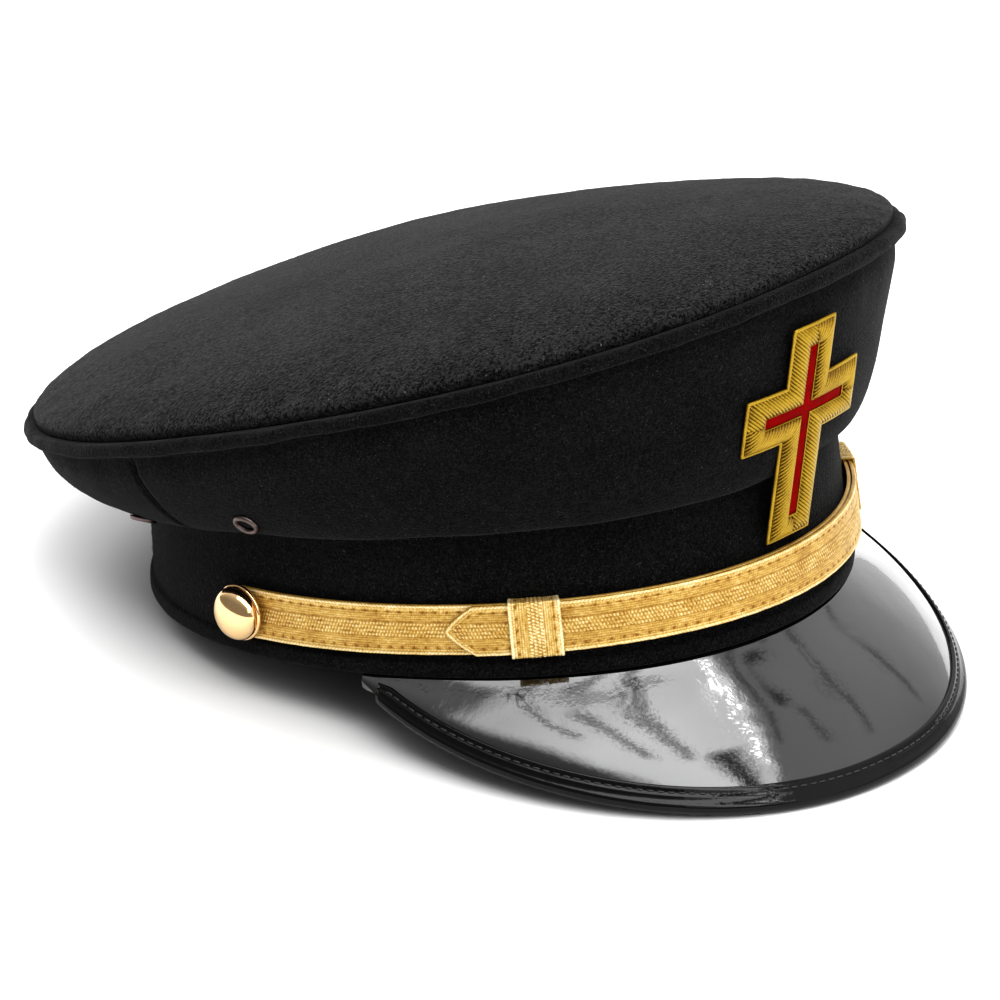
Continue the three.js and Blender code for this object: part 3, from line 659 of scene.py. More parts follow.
def from_effect(name, relief=False, **values):
    """What a material takes from a placed effect."""
    def surface(tree):
        given = dict(values)
        if relief:
            given["Relief"] = relief_here(tree)
        out = placed_effect(tree, name, **given)
        return {"Base Color": out["Colour"], "Roughness": out["Roughness"], "Height": out["Height"]}
    return surface


def red_thread_surface(tree):
    place = here(tree)
    turn = node(tree, "ShaderNodeMapping", {"Vector": place, "Scale": (150, 150, 2600)}).outputs[0]
    stitch = noise(tree, turn, 1, 2, 0.5, 0.3)
    patch = noise(tree, place, 240, 2)
    shade = calc(tree, "MULTIPLY_ADD", patch, 0.4, calc(tree, "MULTIPLY", stitch, 0.6))
    colour = tint(tree, spread(tree, shade, 0.3, 0.7), (0.15, 0.0, 0.0, 1), (0.3, 0.0, 0.001, 1))
    return {"Base Color": colour, "Roughness": spread(tree, stitch, 0.3, 0.7, 0.38, 0.6), "Height": stitch}


def floor_surface(tree):
    cloud = noise(tree, here(tree), 1.5, 2)
    colour = tint(tree, cloud, (0.88, 0.88, 0.88, 1), (0.91, 0.91, 0.91, 1))
    return {"Base Color": colour}


FINISHES = {}


def make_finishes(cap):
    """All the materials, from the colours in the panel."""
    make_wool_effect()
    make_thread_effect()
    make_metal_effect()
    make_patent_effect()
    dark, light = (*cap.wool.dark, 1), (*cap.wool.light, 1)
    soft = {"Sheen Weight": 0.11, "Sheen Roughness": 0.35, "Sheen Tint": (0.8, 0.8, 0.8, 1),
            "Specular IOR Level": 0.15}
    glossy = {"Specular IOR Level": 0.5, "IOR": 1.55, "Coat Weight": 1.0, "Coat Roughness": 0.02,
              "Coat IOR": 1.7}
    rolled = {**glossy, "Coat Weight": 0.0, "Specular IOR Level": 0.3}
    FINISHES.update(
        wool=finish_of("black_wool", soft, from_effect("Fulled wool", Dark=dark, Light=light, Fibre=1500.0),
                       bump=0.8, depth=0.0005),
        # The crown top is the same cloth as the sides, but its lighter colour paints in the light that falls
        # on the top.
        top=finish_of("top_wool_painted_light", soft,
                      from_effect("Fulled wool", Dark=dark, Light=(*cap.wool.top, 1), Fibre=1100.0, Lint=1.0),
                      bump=1.0, depth=0.0009),
        welt=finish_of("welt_wool", soft,
                       from_effect("Fulled wool", Dark=dark, Light=light, Fibre=1500.0, Lint=0.8),
                       bump=0.9, depth=0.0006),
        fuzz=finish_of("loose_wool_fibre", {"Roughness": 0.9},
                       lambda tree: {"Base Color": tint(tree, noise(tree, here(tree), 400),
                                                        (0.03, 0.03, 0.032, 1), (0.15, 0.15, 0.155, 1))}),
        # Lace and gold embroidery take painted shade in their hollows and painted highlights on raised
        # threads, from their relief.
        lace=finish_of("gold_lace", {"Metallic": 0.45},
                       from_effect("Metal thread", relief=True, Hollow=(*cap.lace.hollow_painted_shade, 1),
                                   Thread=(*cap.lace.thread, 1), Glint=(*cap.lace.painted_glint, 1)),
                       bump=0.4, depth=0.0002),
        bullion=finish_of("gold_bullion", {"Metallic": 0.55},
                          from_effect("Metal thread", relief=True, Hollow=(*cap.cross.hollow_painted_shade, 1),
                                      Thread=(*cap.cross.gold, 1), Glint=(*cap.cross.painted_glint, 1), Grain=2600.0),
                          bump=0.25, depth=0.00015),
        red=finish_of("red_thread", {"Specular IOR Level": 0.03}, red_thread_surface,
                      bump=0.25, depth=0.0001),
        gilt=finish_of("polished_gilt", {"Metallic": 1.0},
                       from_effect("Handled metal", Metal=(*cap.metal.gilt, 1), Polish=0.07, Wear=0.25),
                       bump=0.03, depth=0.0003),
        steel=finish_of("eyelet_metal", {"Metallic": 1.0},
                        from_effect("Handled metal", Metal=(*cap.metal.eyelet, 1),
                                    Dull=(0.16, 0.13, 0.12, 1), Polish=0.3, Wear=0.8),
                        bump=0.1, depth=0.0003),
        patent=finish_of("patent_leather", glossy,
                         from_effect("Patent gloss", Leather=(*cap.visor.leather, 1), Gloss=0.04),
                         bump=0.5, depth=0.0012),
        binding=finish_of("patent_binding", rolled,
                          from_effect("Patent gloss", Leather=(*cap.visor.leather, 1),
                                      Gloss=0.06, Creasing=1.5),
                          bump=0.35, depth=0.001),
        stitch=finish_of("black_stitching", {"Roughness": 0.5, "Specular IOR Level": 0.6},
                         lambda tree: {"Base Color": tint(tree, noise(tree, here(tree), 1500),
                                                          (0.01, 0.01, 0.01, 1), (0.05, 0.05, 0.05, 1))}),
        floor=finish_of("pale_floor", {"Roughness": 0.9, "Specular IOR Level": 0.1}, floor_surface),
    )


# Pieces

def make_crown_top():
    turns = all_round(TOP_AROUND)
    bends = np.linspace(0, 1.3, TOP_EDGE_ROWS)
    shares = np.cos(bends) ** (2 / DOME_EDGE_POWER)
    shares = np.concatenate([shares, np.linspace(shares[-1], 0, TOP_FLAT_ROWS + 1)[1:]])[None]

    def layer(thickness, tuck):
        edge = (DOME_EDGE - thickness) * np.sqrt(1 - shares**DOME_EDGE_POWER)
        points = crown_line(turns, shares, -tuck * bell(edge, TOP_TUCK_WIDTH) - thickness)
        points[..., 2] = crown_line(turns, shares, 0)[..., 2] + GAP + edge + DOME_RISE * (1 - shares**2)
        return points

    outer = layer(0, TOP_TUCK)
    inner = layer(CLOTH, 0)[:, ::4]
    rise = DOME_EDGE * np.sqrt(1 - shares**DOME_EDGE_POWER)
    free = np.clip(rise / DOME_EDGE, 0, 1) ** 2
    pucker = ripple("top_pucker", outer * [1, 1, 0.2]) * bell(rise - DOME_EDGE / 2, 3)
    swell = (ripple("top_swell", outer) + ripple("top_dents", outer)) * free
    outer = outer + grid_normals(outer, True) * (swell + pucker)[..., None] * out_sign(outer)
    # The top finish carries painted light: a lighter colour for the same wool.
    shell("crown_top_cloth", outer, inner, True, "top", ["crown_top"])


def out_sign(points):
    """1 or -1, so that normals of a grid round the cap point away from its middle."""
    normals = grid_normals(points, True)
    middle = np.array([0, CROWN_BACK_SHIFT, CROWN_HEIGHT / 2])
    return 1 if ((points - middle) * normals).sum() > 0 else -1


def side_panel(name, start, end):
    """One panel of the crown side, turned in at its seams."""
    middle = np.linspace(start + 2, end - 2, int((end - start) / SIDE_STEP))
    turns = np.concatenate([start + SEAM_TURNS, middle, (end - SEAM_TURNS)[::-1]])[:, None]
    shares = np.linspace(0, 1, SIDE_ROWS)[None]
    outer = side_surface(turns, shares)
    out = direction_out(side_surface, turns, shares)
    inner = outer - out * CLOTH
    inner[:, 0] = outer[:, 0] + [0, 0, CLOTH]
    inner[:, -1] = crown_line(turns[:, 0], 1, -CLOTH)
    inner[:, -1, 2] = outer[:, -1, 2]
    height = (1 - shares) * (outer[:, -1:, 2] - outer[:, :1, 2])
    to_seam = np.minimum(turns - start, end - turns) * SEAM_LENGTH_PER_DEGREE
    groove = SEAM_GROOVE * bell(to_seam, SEAM_GROOVE_WIDTH)
    groove = groove + WELT_GROOVE * bell(height, WELT_GROOVE_WIDTH)
    free = np.clip(height / 14, 0, 1) * np.clip(shares / 0.16, 0, 1)
    swell = (ripple("side_swell", outer) + ripple("side_dents", outer)) * free
    pull = ripple("side_pull", outer * [1, 1, 0.15]) * bell(height - 4, 4)
    outer = outer + out * (swell + pull - groove)[..., None]
    shell(f"{name}_cloth", outer, inner, False, "wool", [name], sharp=50)


def make_crown_sides():
    gap = GAP / length_per_degree(SIDE_SEAM_TURN)
    side_panel("crown_side_front", -SIDE_SEAM_TURN, SIDE_SEAM_TURN)
    side_panel("crown_side_back", SIDE_SEAM_TURN + gap, 360 - SIDE_SEAM_TURN - gap)


def make_welt():
    turns = all_round(WELT_AROUND)
    bends = np.linspace(-math.pi / 2, math.pi / 2, 17)[None]
    rim = crown_line(turns, 1, 0)[..., 2]

    def face(swell, share):
        points = crown_line(turns, 1, swell)
        points[..., 2] = rim - WELT_HEIGHT * (1 - share)
        return points

    share = (np.sin(bends) + 1) / 2
    outer = face(WELT_BULGE * np.cos(bends) - 0.1, share)
    outer = outer + unit(outer * [1, 1, 0]) * ripple("welt_swell", outer * [1, 1, 0.3])[..., None]
    outer[..., 2] += ripple("welt_wander", outer)
    inner = face(np.full_like(share, WELT_SWELL - WELT_DEPTH), share)
    shell("crown_welt_cloth", outer, inner, True, "welt", ["crown_welt"])


def make_band():
    turns = all_round(BAND_AROUND)
    hem = np.linspace(0, BAND_HEM_HEIGHT, HEM_ROWS)
    rise = np.linspace(0, 1, BAND_ROWS + 1)[1:]
    top = band_showing_height(turns) + SEAT_RISE + BAND_TOP_MARGIN
    above_hem = BAND_HEM_HEIGHT + (top - BAND_HEM_HEIGHT) * rise
    heights = np.concatenate([np.broadcast_to(hem, (BAND_AROUND, HEM_ROWS)), above_hem], 1)
    inside_hem = np.maximum(0, 1 - (2 * heights / BAND_HEM_HEIGHT - 1) ** 4)
    outer = band_line(turns, band_flare(heights) + BAND_HEM_SWELL * np.sqrt(inside_hem), heights)
    inner = band_line(turns, band_flare(heights) - BAND_WALL, heights)
    free = np.clip((heights - BAND_HEM_HEIGHT) / 6, 0, 1) * np.clip((top - 8 - heights) / 6, 0, 1)
    swell = ripple("band_swell", outer) * free + ripple("band_dents", outer * [1, 1, 0.4])
    outer = outer + unit(outer * [1, 1, 0]) * swell[..., None]
    shell("band_cloth", outer, inner[:, ::2], True, "wool", ["band"], sharp=60)


def make_fuzz(cap):
    """Loose fibres that lie on the wool, as closed thin slips."""
    random = np.random.default_rng(7)
    count = cap.wool.fibres
    length = cap.wool.fibre_length / METRES
    groups = []
    for share_of, surface, low, high in ((0.42, dome_surface, 0.04, 0.995), (0.34, side_surface, 0.1, 0.97),
                                         (0.24, band_surface, 0.18, 0.92)):
        number = int(count * share_of)
        turn = random.uniform(-180, 180, number)
        share = random.uniform(low, high, number)
        if surface is dome_surface:
            share = np.sqrt(share)
        place = surface(turn, share)
        around = unit(surface(turn + 0.2, share) - surface(turn - 0.2, share))
        along = unit(surface(turn, share + 0.003) - surface(turn, share - 0.003))
        out = unit(np.cross(around, along))
        out = out * np.sign((out * (place - [0, 0, 40])).sum(-1))[:, None]
        heading = random.uniform(0, 2 * math.pi, number)[:, None]
        lie = around * np.cos(heading) + along * np.sin(heading)
        bend = np.cross(out, lie) * random.normal(0, 0.5, number)[:, None]
        size = length * random.uniform(0.35, 1.3, number)[:, None]
        steps = np.linspace(0, 1, 3)
        lift = random.uniform(0.05, 0.4, number)[:, None]
        paths = np.stack([place + out * (0.02 + lift * math.sin(math.pi * 0.75 * t))
                          + lie * size * t + bend * size * t * t for t in steps], 1)
        groups.append((paths, np.broadcast_to(out[:, None], paths.shape)))
    paths = np.concatenate([g[0] for g in groups])
    up = np.concatenate([g[1] for g in groups])
    thick = (FUZZ_TAPER * FUZZ_THICK)[None]
    points, faces = tubes(paths, up, thick, thick, 3)
    new_piece("wool_fuzz", points, faces, "fuzz")


def dome_surface(turn, share):
    points = crown_line(turn, share, 0)
    edge = DOME_EDGE * np.sqrt(np.maximum(0, 1 - share**DOME_EDGE_POWER))
    points[..., 2] += GAP + edge + DOME_RISE * (1 - share**2)
    return points


def band_surface(turn, share):
    """The band's face, from its lower edge (0) to the height up to which fibres lie on it (1)."""
    height = share * FUZZ_BAND_HEIGHT
    return band_line(turn, band_flare(height) + 0.05, height)


def eyelet_seat(side, where):
    turn, share = EYELETS[where]
    turn, share = np.array(side * turn, float), np.array(share)
    return side_surface(turn, share), direction_out(side_surface, turn, share)


def make_eyelets():
    inner, outer = EYELET_HOLE / 2, EYELET_DIAMETER / 2
    middle = (inner + outer) / 2
    bends = np.linspace(0, math.pi, 14)
    rim = [(middle + (outer - middle) * math.cos(a), GAP - 0.2 + EYELET_RIM_RISE * math.sin(a))
           for a in bends]
    profile = [(inner + 0.4, -EYELET_BARREL), (inner + 0.4, GAP - 0.2), *rim, (inner, -EYELET_BARREL)]
    for side_name, side in SIDES.items():
        for where in EYELETS:
            name = f"eyelet_{side_name}_{where}"
            turned(f"{name}_rim", profile, 48, eyelet_seat(side, where), "steel", [name])


def ridge(distance, half):
    """Height of a round cord across, 1 on its top and 0 past its edges."""
    return np.sqrt(np.maximum(0, 1 - (distance / half) ** 2))


def lace_relief(along, across, from_edge):
    """Height of the lace, 0 in its holes and 1 on its cords."""
    wave = 2 * math.pi
    uneven = ripple("lace", points_of(along, across * 3, 0), 6)
    satin = 0.46 + 0.13 * np.sin(wave * across / SATIN_PITCH) + 0.05 * np.sin(wave * along / 0.6)
    satin = satin + 0.06 * uneven
    edge_cord = ridge(from_edge - 0.48, 0.5) * (0.82 + 0.18 * np.sin(wave * (along / 1.05 + from_edge)))
    second = 0.8 * ridge(from_edge - 1.35, 0.3) * (0.78 + 0.22 * np.sin(wave * (along / 0.95 - from_edge)))
    step = (along + HOLE_PITCH / 2) % HOLE_PITCH - HOLE_PITCH / 2
    hole = bell(from_edge - HOLE_INSET, 0.36) * bell(step, 0.4)
    small = along % (HOLE_PITCH / 2) - HOLE_PITCH / 4
    hole = np.maximum(hole, 0.35 * bell(from_edge - HOLE_INSET, 0.22) * bell(small, 0.25))
    relief = np.maximum.reduce([satin - 0.75 * hole, edge_cord, second])
    for number, centre in enumerate(BEAD_ROWS):
        swing = along / BEAD_PITCH + 0.5 * (number % 2) + 0.35 * (across - centre) + 0.1 * uneven
        bead = 0.5 + 0.5 * np.cos(wave * swing)
        row = ridge(across - centre, 0.5) * bead
        inside = (np.abs(across - centre) <= BEAD_ROW_HALF) & (from_edge > LACE_BORDER)
        relief = np.where(inside, 0.24 + 0.62 * row + 0.08 * uneven, relief)
    for side in (-1, 1):
        groove = bell(across - side * 2.45, 0.16) + 0.6 * bell(across - side * 4.3, 0.14)
        relief = relief - 0.16 * groove * (from_edge > LACE_BORDER)
    return np.clip(relief, 0.02, 1)


def strap_piece(name, side, on_top):
    """One lace piece, from its button round to its pointed tip."""
    end = BUTTON_TURN + STRAP_WIDTH / 2 / length_per_degree(BUTTON_TURN)
    tip = STRAP_TIP_LENGTH / length_per_degree(STRAP_TIP_TURN)
    fine = np.linspace(-STRAP_TIP_TURN, end, 4000)
    line = strap_line(side * fine, 0, 0)
    lengths = lengths_along(line)
    along = np.linspace(0, lengths[-1], int(lengths[-1] / LACE_POINT))
    turns = np.interp(along, lengths, fine)
    from_tip = np.clip((turns + STRAP_TIP_TURN) / tip, 0, 1)
    past = np.maximum(0, turns - BUTTON_TURN) / (end - BUTTON_TURN)
    half = STRAP_WIDTH / 2 * from_tip**0.7 * np.sqrt(np.maximum(0, 1 - past**2))
    half = np.maximum(half, 0.02)[:, None]
    lift = np.full_like(turns, STRAP_SEAT)
    if on_top:
        down = np.clip((turns - STRAP_TIP_TURN - 1) / STRAP_JOG_TURN, 0, 1)
        lift = lift + STRAP_LAYER * (1 - down**2 * (3 - 2 * down))
    across = np.linspace(-1, 1, LACE_ROWS)[None] * half
    slant = np.clip(half / (STRAP_WIDTH / 2), 0.3, 1) ** 0.5
    from_edge = (half - np.abs(across)) * slant
    relief = lace_relief(along[:, None] + 0 * across, across, from_edge)
    wander = ripple(name, points_of(along[:, None] / 6, across, 0))
    outward = lift[:, None] + STRAP_THICK - LACE_RELIEF + LACE_RELIEF * relief + wander
    outer = strap_line(side * turns[:, None] + 0 * across, outward, across)
    inner = strap_line(side * turns[:, None], lift[:, None], across)[:, ::LACE_INNER_STEP]
    # The outer face's relief also sets its colour: painted shade in holes and grooves, and a painted
    # highlight on cords and beads. The inner face keeps a fixed low value.
    values = {"relief": np.concatenate([relief, np.full(inner.shape[:2], 0.3)], 1)}
    shell(f"{name}_lace", outer, inner, False, "lace", [name], values=values, sharp=70)


def make_keeper(name, side):
    """A lace loop round both strap pieces, with the lace's pattern turned upright."""
    low, high = GAP, STRAP_SEAT + 2 * STRAP_LAYER + KEEPER_THICK
    half = STRAP_WIDTH / 2 + GAP + KEEPER_THICK
    corner = KEEPER_CORNER
    bends = np.linspace(0, math.pi / 2, 7)
    outline, facing = [], []
    for number, (o, a) in enumerate(((high - corner, half - corner), (low + corner, half - corner),
                                     (low + corner, corner - half), (high - corner, corner - half))):
        for bend in bends:
            angle = bend + number * math.pi / 2
            facing.append((math.cos(angle), math.sin(angle)))
            outline.append((o + corner * math.cos(angle), a + corner * math.sin(angle)))
    outline, facing = np.array(outline), np.array(facing)
    closed = np.vstack([outline, outline[:1]])
    lengths = lengths_along(closed)
    count = int(lengths[-1] / KEEPER_POINT)
    along = np.arange(count) * lengths[-1] / count
    path = np.stack([np.interp(along, lengths, closed[:, i]) for i in (0, 1)], -1)
    turned_out = np.vstack([facing, facing[:1]])
    out = unit(np.stack([np.interp(along, lengths, turned_out[:, i]) for i in (0, 1)], -1))
    across = np.linspace(-KEEPER_LENGTH / 2, KEEPER_LENGTH / 2, KEEPER_ROWS)[None]
    relief = lace_relief(along[:, None] + 0 * across, across * 1.03, KEEPER_LENGTH / 2 - np.abs(across))
    turn = side * KEEPER_TURN + across / length_per_degree(KEEPER_TURN) + 0 * along[:, None]

    def face(height):
        return strap_line(turn, path[:, :1] + out[:, :1] * height, path[:, 1:] + out[:, 1:] * height)

    outer = face(LACE_RELIEF * (relief - 0.8))
    inner = face(0 * relief - KEEPER_THICK)[:, ::LACE_INNER_STEP]
    # The relief for the colour is raised by a quarter, so more of the keeper takes the painted highlight and
    # less the painted shade.
    values = {"relief": np.concatenate([np.clip(relief * 1.25, 0, 1), np.full(inner.shape[:2], 0.3)], 1)}
    shell(f"{name}_lace", outer, inner, True, "lace", [name], values=values, sharp=70)


def make_strap():
    for name, side in SIDES.items():
        strap_piece(f"strap_{name}", side, name == "left")
        make_keeper(f"keeper_{name}", side)


def button_seat(side):
    turn = np.array(side * BUTTON_TURN, float)
    place = strap_line(turn, 0, 0)
    around = strap_line(turn + 1, 0, 0) - strap_line(turn - 1, 0, 0)
    upward = strap_line(turn, 0, STRAP_WIDTH / 2) - strap_line(turn, 0, -STRAP_WIDTH / 2)
    return place, unit(np.cross(around, upward))


def make_buttons():
    radius = BUTTON_DIAMETER / 2
    plate = STRAP_SEAT + STRAP_THICK + GAP
    brow = plate + BUTTON_BACK
    bead = [(radius - 0.55 + BUTTON_BEAD * math.cos(a), brow - 1.0 + BUTTON_BEAD * math.sin(a))
            for a in np.linspace(-1.4, 1.6, 14)]
    bends = np.linspace(0, math.pi / 2, 28)
    dome = [((radius - 0.25) * math.cos(a), brow + 0.1 + BUTTON_DOME * math.sin(a)) for a in bends]
    profile = [(0, GAP), (SHANK_DIAMETER / 2, GAP), (SHANK_DIAMETER / 2, plate), (radius - 1.6, plate),
               *bead, (radius - 1.0, brow - 0.1), (radius - 0.5, brow), *dome]
    for name, side in SIDES.items():
        turned(f"button_{name}_dome", profile, 96, button_seat(side), "gilt",
               [f"button_{name}"], sharp=55)


def cross_outline(margin):
    """Corners of the cross less a margin all round, as (across, up)."""
    arm, span = CROSS_ARM / 2 - margin, CROSS_SPAN / 2 - margin
    low, high = CROSS_ARM_HEIGHT - arm, CROSS_ARM_HEIGHT + arm
    foot, head = margin, CROSS_HEIGHT - margin
    return np.array([(-arm, foot), (arm, foot), (arm, low), (span, low), (span, high), (arm, high),
                     (arm, head), (-arm, head), (-arm, high), (-span, high), (-span, low), (-arm, low)])


CONCAVE = {2, 5, 8, 11}
# For each edge, the slope of its threads and the shares of the edge that they cover
SPLIT_RUNS = ((1, -1, 0.5), (-1, 0.5, 2))
THREAD_RUNS = (SPLIT_RUNS, ((1, -1, 2),), ((-1, -1, 2),)) * 4


def border_height(inward):
    """How high the padding under the gold threads rises, at a distance inwards."""
    share = np.clip((inward - EDGE_STRIP) / (CROSS_BORDER - EDGE_STRIP), 0, 1)
    return 0.55 + 1.25 * np.sin(math.pi * share) ** 0.6 + 0.35 * share


def make_cross(cap):
    standoff = cross_standoff()
    pitch = cap.cross.thread_pitch / METRES
    make_cross_pad(standoff)
    paths, ups = [], []
    corners = cross_outline(0)
    for i in range(12):
        start, end = corners[i], corners[(i + 1) % 12]
        length = np.linalg.norm(end - start)
        ahead = (end - start) / length
        inward = np.array([-ahead[1], ahead[0]])
        opening = -1 if i in CONCAVE else 1
        closing = -1 if (i + 1) % 12 in CONCAVE else 1
        for slant, first, last in THREAD_RUNS[i]:
            for place in np.arange(-CROSS_BORDER, length + CROSS_BORDER, pitch):
                depth = np.linspace(EDGE_STRIP - 0.35, CROSS_BORDER + 0.1, 60)
                spot = place + slant * depth
                held = (spot >= np.maximum(opening * depth, first * length)) & (
                    spot <= np.minimum(length - closing * depth, last * length))
                if held.sum() < 5:
                    continue
                depth = np.linspace(depth[held][0], depth[held][-1], THREAD_POINTS)
                flat = start + ahead * (place + slant * depth)[:, None] + inward * depth[:, None]
                height = border_height(depth) + 0.05
                paths.append(cross_surface(flat[:, 0], flat[:, 1], standoff + height))
                ups.append(np.broadcast_to(cross_out(), (THREAD_POINTS, 3)))
    paths, ups = np.array(paths), np.array(ups)
    thick = pitch / math.sqrt(2) * THREAD_SPREAD
    ends = np.sin(np.linspace(0.35, math.pi - 0.35, THREAD_POINTS)) ** 0.3
    points, faces = tubes(paths, ups, (thick * ends)[None], (thick * 1.05 * ends)[None], THREAD_SIDES)
    # Relief by how far each point stands out: the lower sides of the threads get painted shade and the tops a
    # painted highlight.
    depth = (points - np.repeat(paths.reshape(-1, 3), THREAD_SIDES, 0)) @ cross_out()
    new_piece("cross_threads", points, faces, "bullion",
              values={"relief": np.clip(0.8 * depth / thick + 0.17, 0, 1)})
    make_cross_cord("cross_edge_cord", EDGE_STRIP / 2, 0.62, 0.55, standoff + 0.55)
    make_cross_cord("cross_core_cord", CROSS_BORDER + 0.1, 0.22, 0.3, standoff + CORE_TOP)
    make_cross_core(standoff)


def cross_out():
    lean = cross_lean()
    return np.array([0, -math.cos(lean), -math.sin(lean)])


def outline_path(margin, step=0.6):
    """Points along the outline of the cross, less a margin."""
    corners = cross_outline(margin)
    path = []
    for i in range(12):
        start, end = corners[i], corners[(i + 1) % 12]
        count = max(3, int(np.linalg.norm(end - start) / step))
        path.append(start + (end - start) * (np.arange(count) / count)[:, None])
    return np.concatenate(path)


def make_cross_cord(name, margin, wide, tall, outward):
    """A gold cord along the cross's outline, less a margin."""
    flat = outline_path(margin)
    path = cross_surface(flat[:, 0], flat[:, 1], outward)[None]
    up = np.broadcast_to(cross_out(), path.shape)
    points, faces = tubes(path, up, wide, tall, 12, closed=True)
    # Relief by how far each point stands out, giving the cord painted shade below and a painted highlight on
    # top.
    depth = (points - np.repeat(path.reshape(-1, 3), 12, 0)) @ cross_out()
    new_piece(name, points, faces, "bullion",
              values={"relief": np.clip(0.6 + 0.4 * depth / tall, 0, 1)})


def make_cross_pad(standoff):
    """Padding under the gold threads, in the shape of the border."""
    margins = np.linspace(0.25, CROSS_BORDER - 0.1, 12)
    rings = []
    for i in range(12):
        steps = np.linspace(0, 1, 14, endpoint=False)
        for t in steps:
            row = []
            for margin in margins:
                corners = cross_outline(margin)
                flat = corners[i] * (1 - t) + corners[(i + 1) % 12] * t
                row.append(cross_surface(flat[0], flat[1], standoff + border_height(margin) - 0.15))
            for margin in margins[::-1]:
                corners = cross_outline(margin)
                flat = corners[i] * (1 - t) + corners[(i + 1) % 12] * t
                row.append(cross_surface(flat[0], flat[1], standoff))
            rings.append(row)
    rings = np.array(rings)
    # The padding shows between the threads in a dark mix of painted shade and the thread colour.
    values = {"relief": np.full(rings.shape[:2], 0.28)}
    new_piece("cross_pad", rings, ring_faces(*rings.shape[:2], True), "bullion",
              ["cross_bullion"], values=values)


def make_cross_core(standoff):
    """Red centre: a cross of thread with softly rounded edges."""
    margin = CROSS_BORDER + 0.15
    arm, span = CROSS_ARM / 2 - margin, CROSS_SPAN / 2 - margin
    low, high = CROSS_ARM_HEIGHT - arm, CROSS_ARM_HEIGHT + arm
    fine = np.linspace(-1, 1, 9)
    columns = np.concatenate([fine * arm, np.linspace(-span, -arm, 14), np.linspace(arm, span, 14)])
    columns = np.unique(columns.round(4))
    rows = np.unique(np.concatenate([np.linspace(margin, low, 22), CROSS_ARM_HEIGHT + fine * arm,
                                     np.linspace(high, CROSS_HEIGHT - margin, 14)]).round(4))
    across, up = np.meshgrid(columns, rows, indexing="ij")
    side = arm - np.minimum(np.abs(across), np.abs(up - CROSS_ARM_HEIGHT))
    ends = np.minimum.reduce([span - np.abs(across), up - margin, CROSS_HEIGHT - margin - up])
    drop = 0.35 * (1 - np.clip(np.minimum(side, np.maximum(ends, 0)) / 0.6, 0, 1)) ** 2
    front = cross_surface(across, up, standoff + CORE_TOP + 0.1 - drop)
    back = cross_surface(across, up, standoff + 0 * up)

    def held(i, j):
        """Whether a cell of the grid belongs to the cross."""
        if not (0 <= i < len(columns) - 1 and 0 <= j < len(rows) - 1):
            return False
        middle, height = (columns[i] + columns[i + 1]) / 2, (rows[j] + rows[j + 1]) / 2
        return abs(middle) < arm or abs(height - CROSS_ARM_HEIGHT) < arm

    def at(layer, i, j):
        return layer * across.size + i * len(rows) + j

    faces = []
    for i in range(len(columns) - 1):
        for j in range(len(rows) - 1):
            if not held(i, j):
                continue
            faces.append((at(0, i, j), at(0, i + 1, j), at(0, i + 1, j + 1), at(0, i, j + 1)))
            faces.append((at(1, i, j), at(1, i, j + 1), at(1, i + 1, j + 1), at(1, i + 1, j)))
            for ni, nj, a, b in ((i, j - 1, (i, j), (i + 1, j)), (i, j + 1, (i + 1, j + 1), (i, j + 1)),
                                 (i - 1, j, (i, j + 1), (i, j)), (i + 1, j, (i + 1, j), (i + 1, j + 1))):
                if not held(ni, nj):
                    faces.append((at(0, *b), at(0, *a), at(1, *a), at(1, *b)))
    points = np.concatenate([front.reshape(-1, 3), back.reshape(-1, 3)])
    used = sorted({v for face in faces for v in face})
    new_index = {v: k for k, v in enumerate(used)}
    faces = [tuple(new_index[v] for v in face) for face in faces]
    new_piece("cross_red", points[used], faces, "red", ["cross_core"], sharp=60)


def make_visor():
    tip = visor_turn_at(VISOR_TIP_REACH)
    turns = np.linspace(-tip, tip, 260)[:, None]
    shares = np.concatenate([np.linspace(-1, 0, 5)[:-1], np.linspace(0, 1, 48)])[None]
    top = visor_surface(turns, shares)
    up = visor_up(turns, shares)
    free = np.clip(shares / 0.15, 0, 1) * np.clip((1 - shares) / 0.2, 0, 1)
    swell = ripple("visor_dents", top * [1, 0.3, 0.3]) + ripple("visor_swell", top)
    top_face = top + up * (swell * free * visor_fullness(turns))[..., None]
    shell("visor_leather", top_face, top - up * VISOR_THICK, False, "patent", ["visor"], sharp=60)
    make_binding()


def edge_frame(turns):
    """Edge of the visor with its outward and upward directions."""
    near = 0.98
    edge = visor_surface(turns, 1)
    outward = unit(edge - visor_surface(turns, near))
    return edge, outward, visor_up(turns, near)


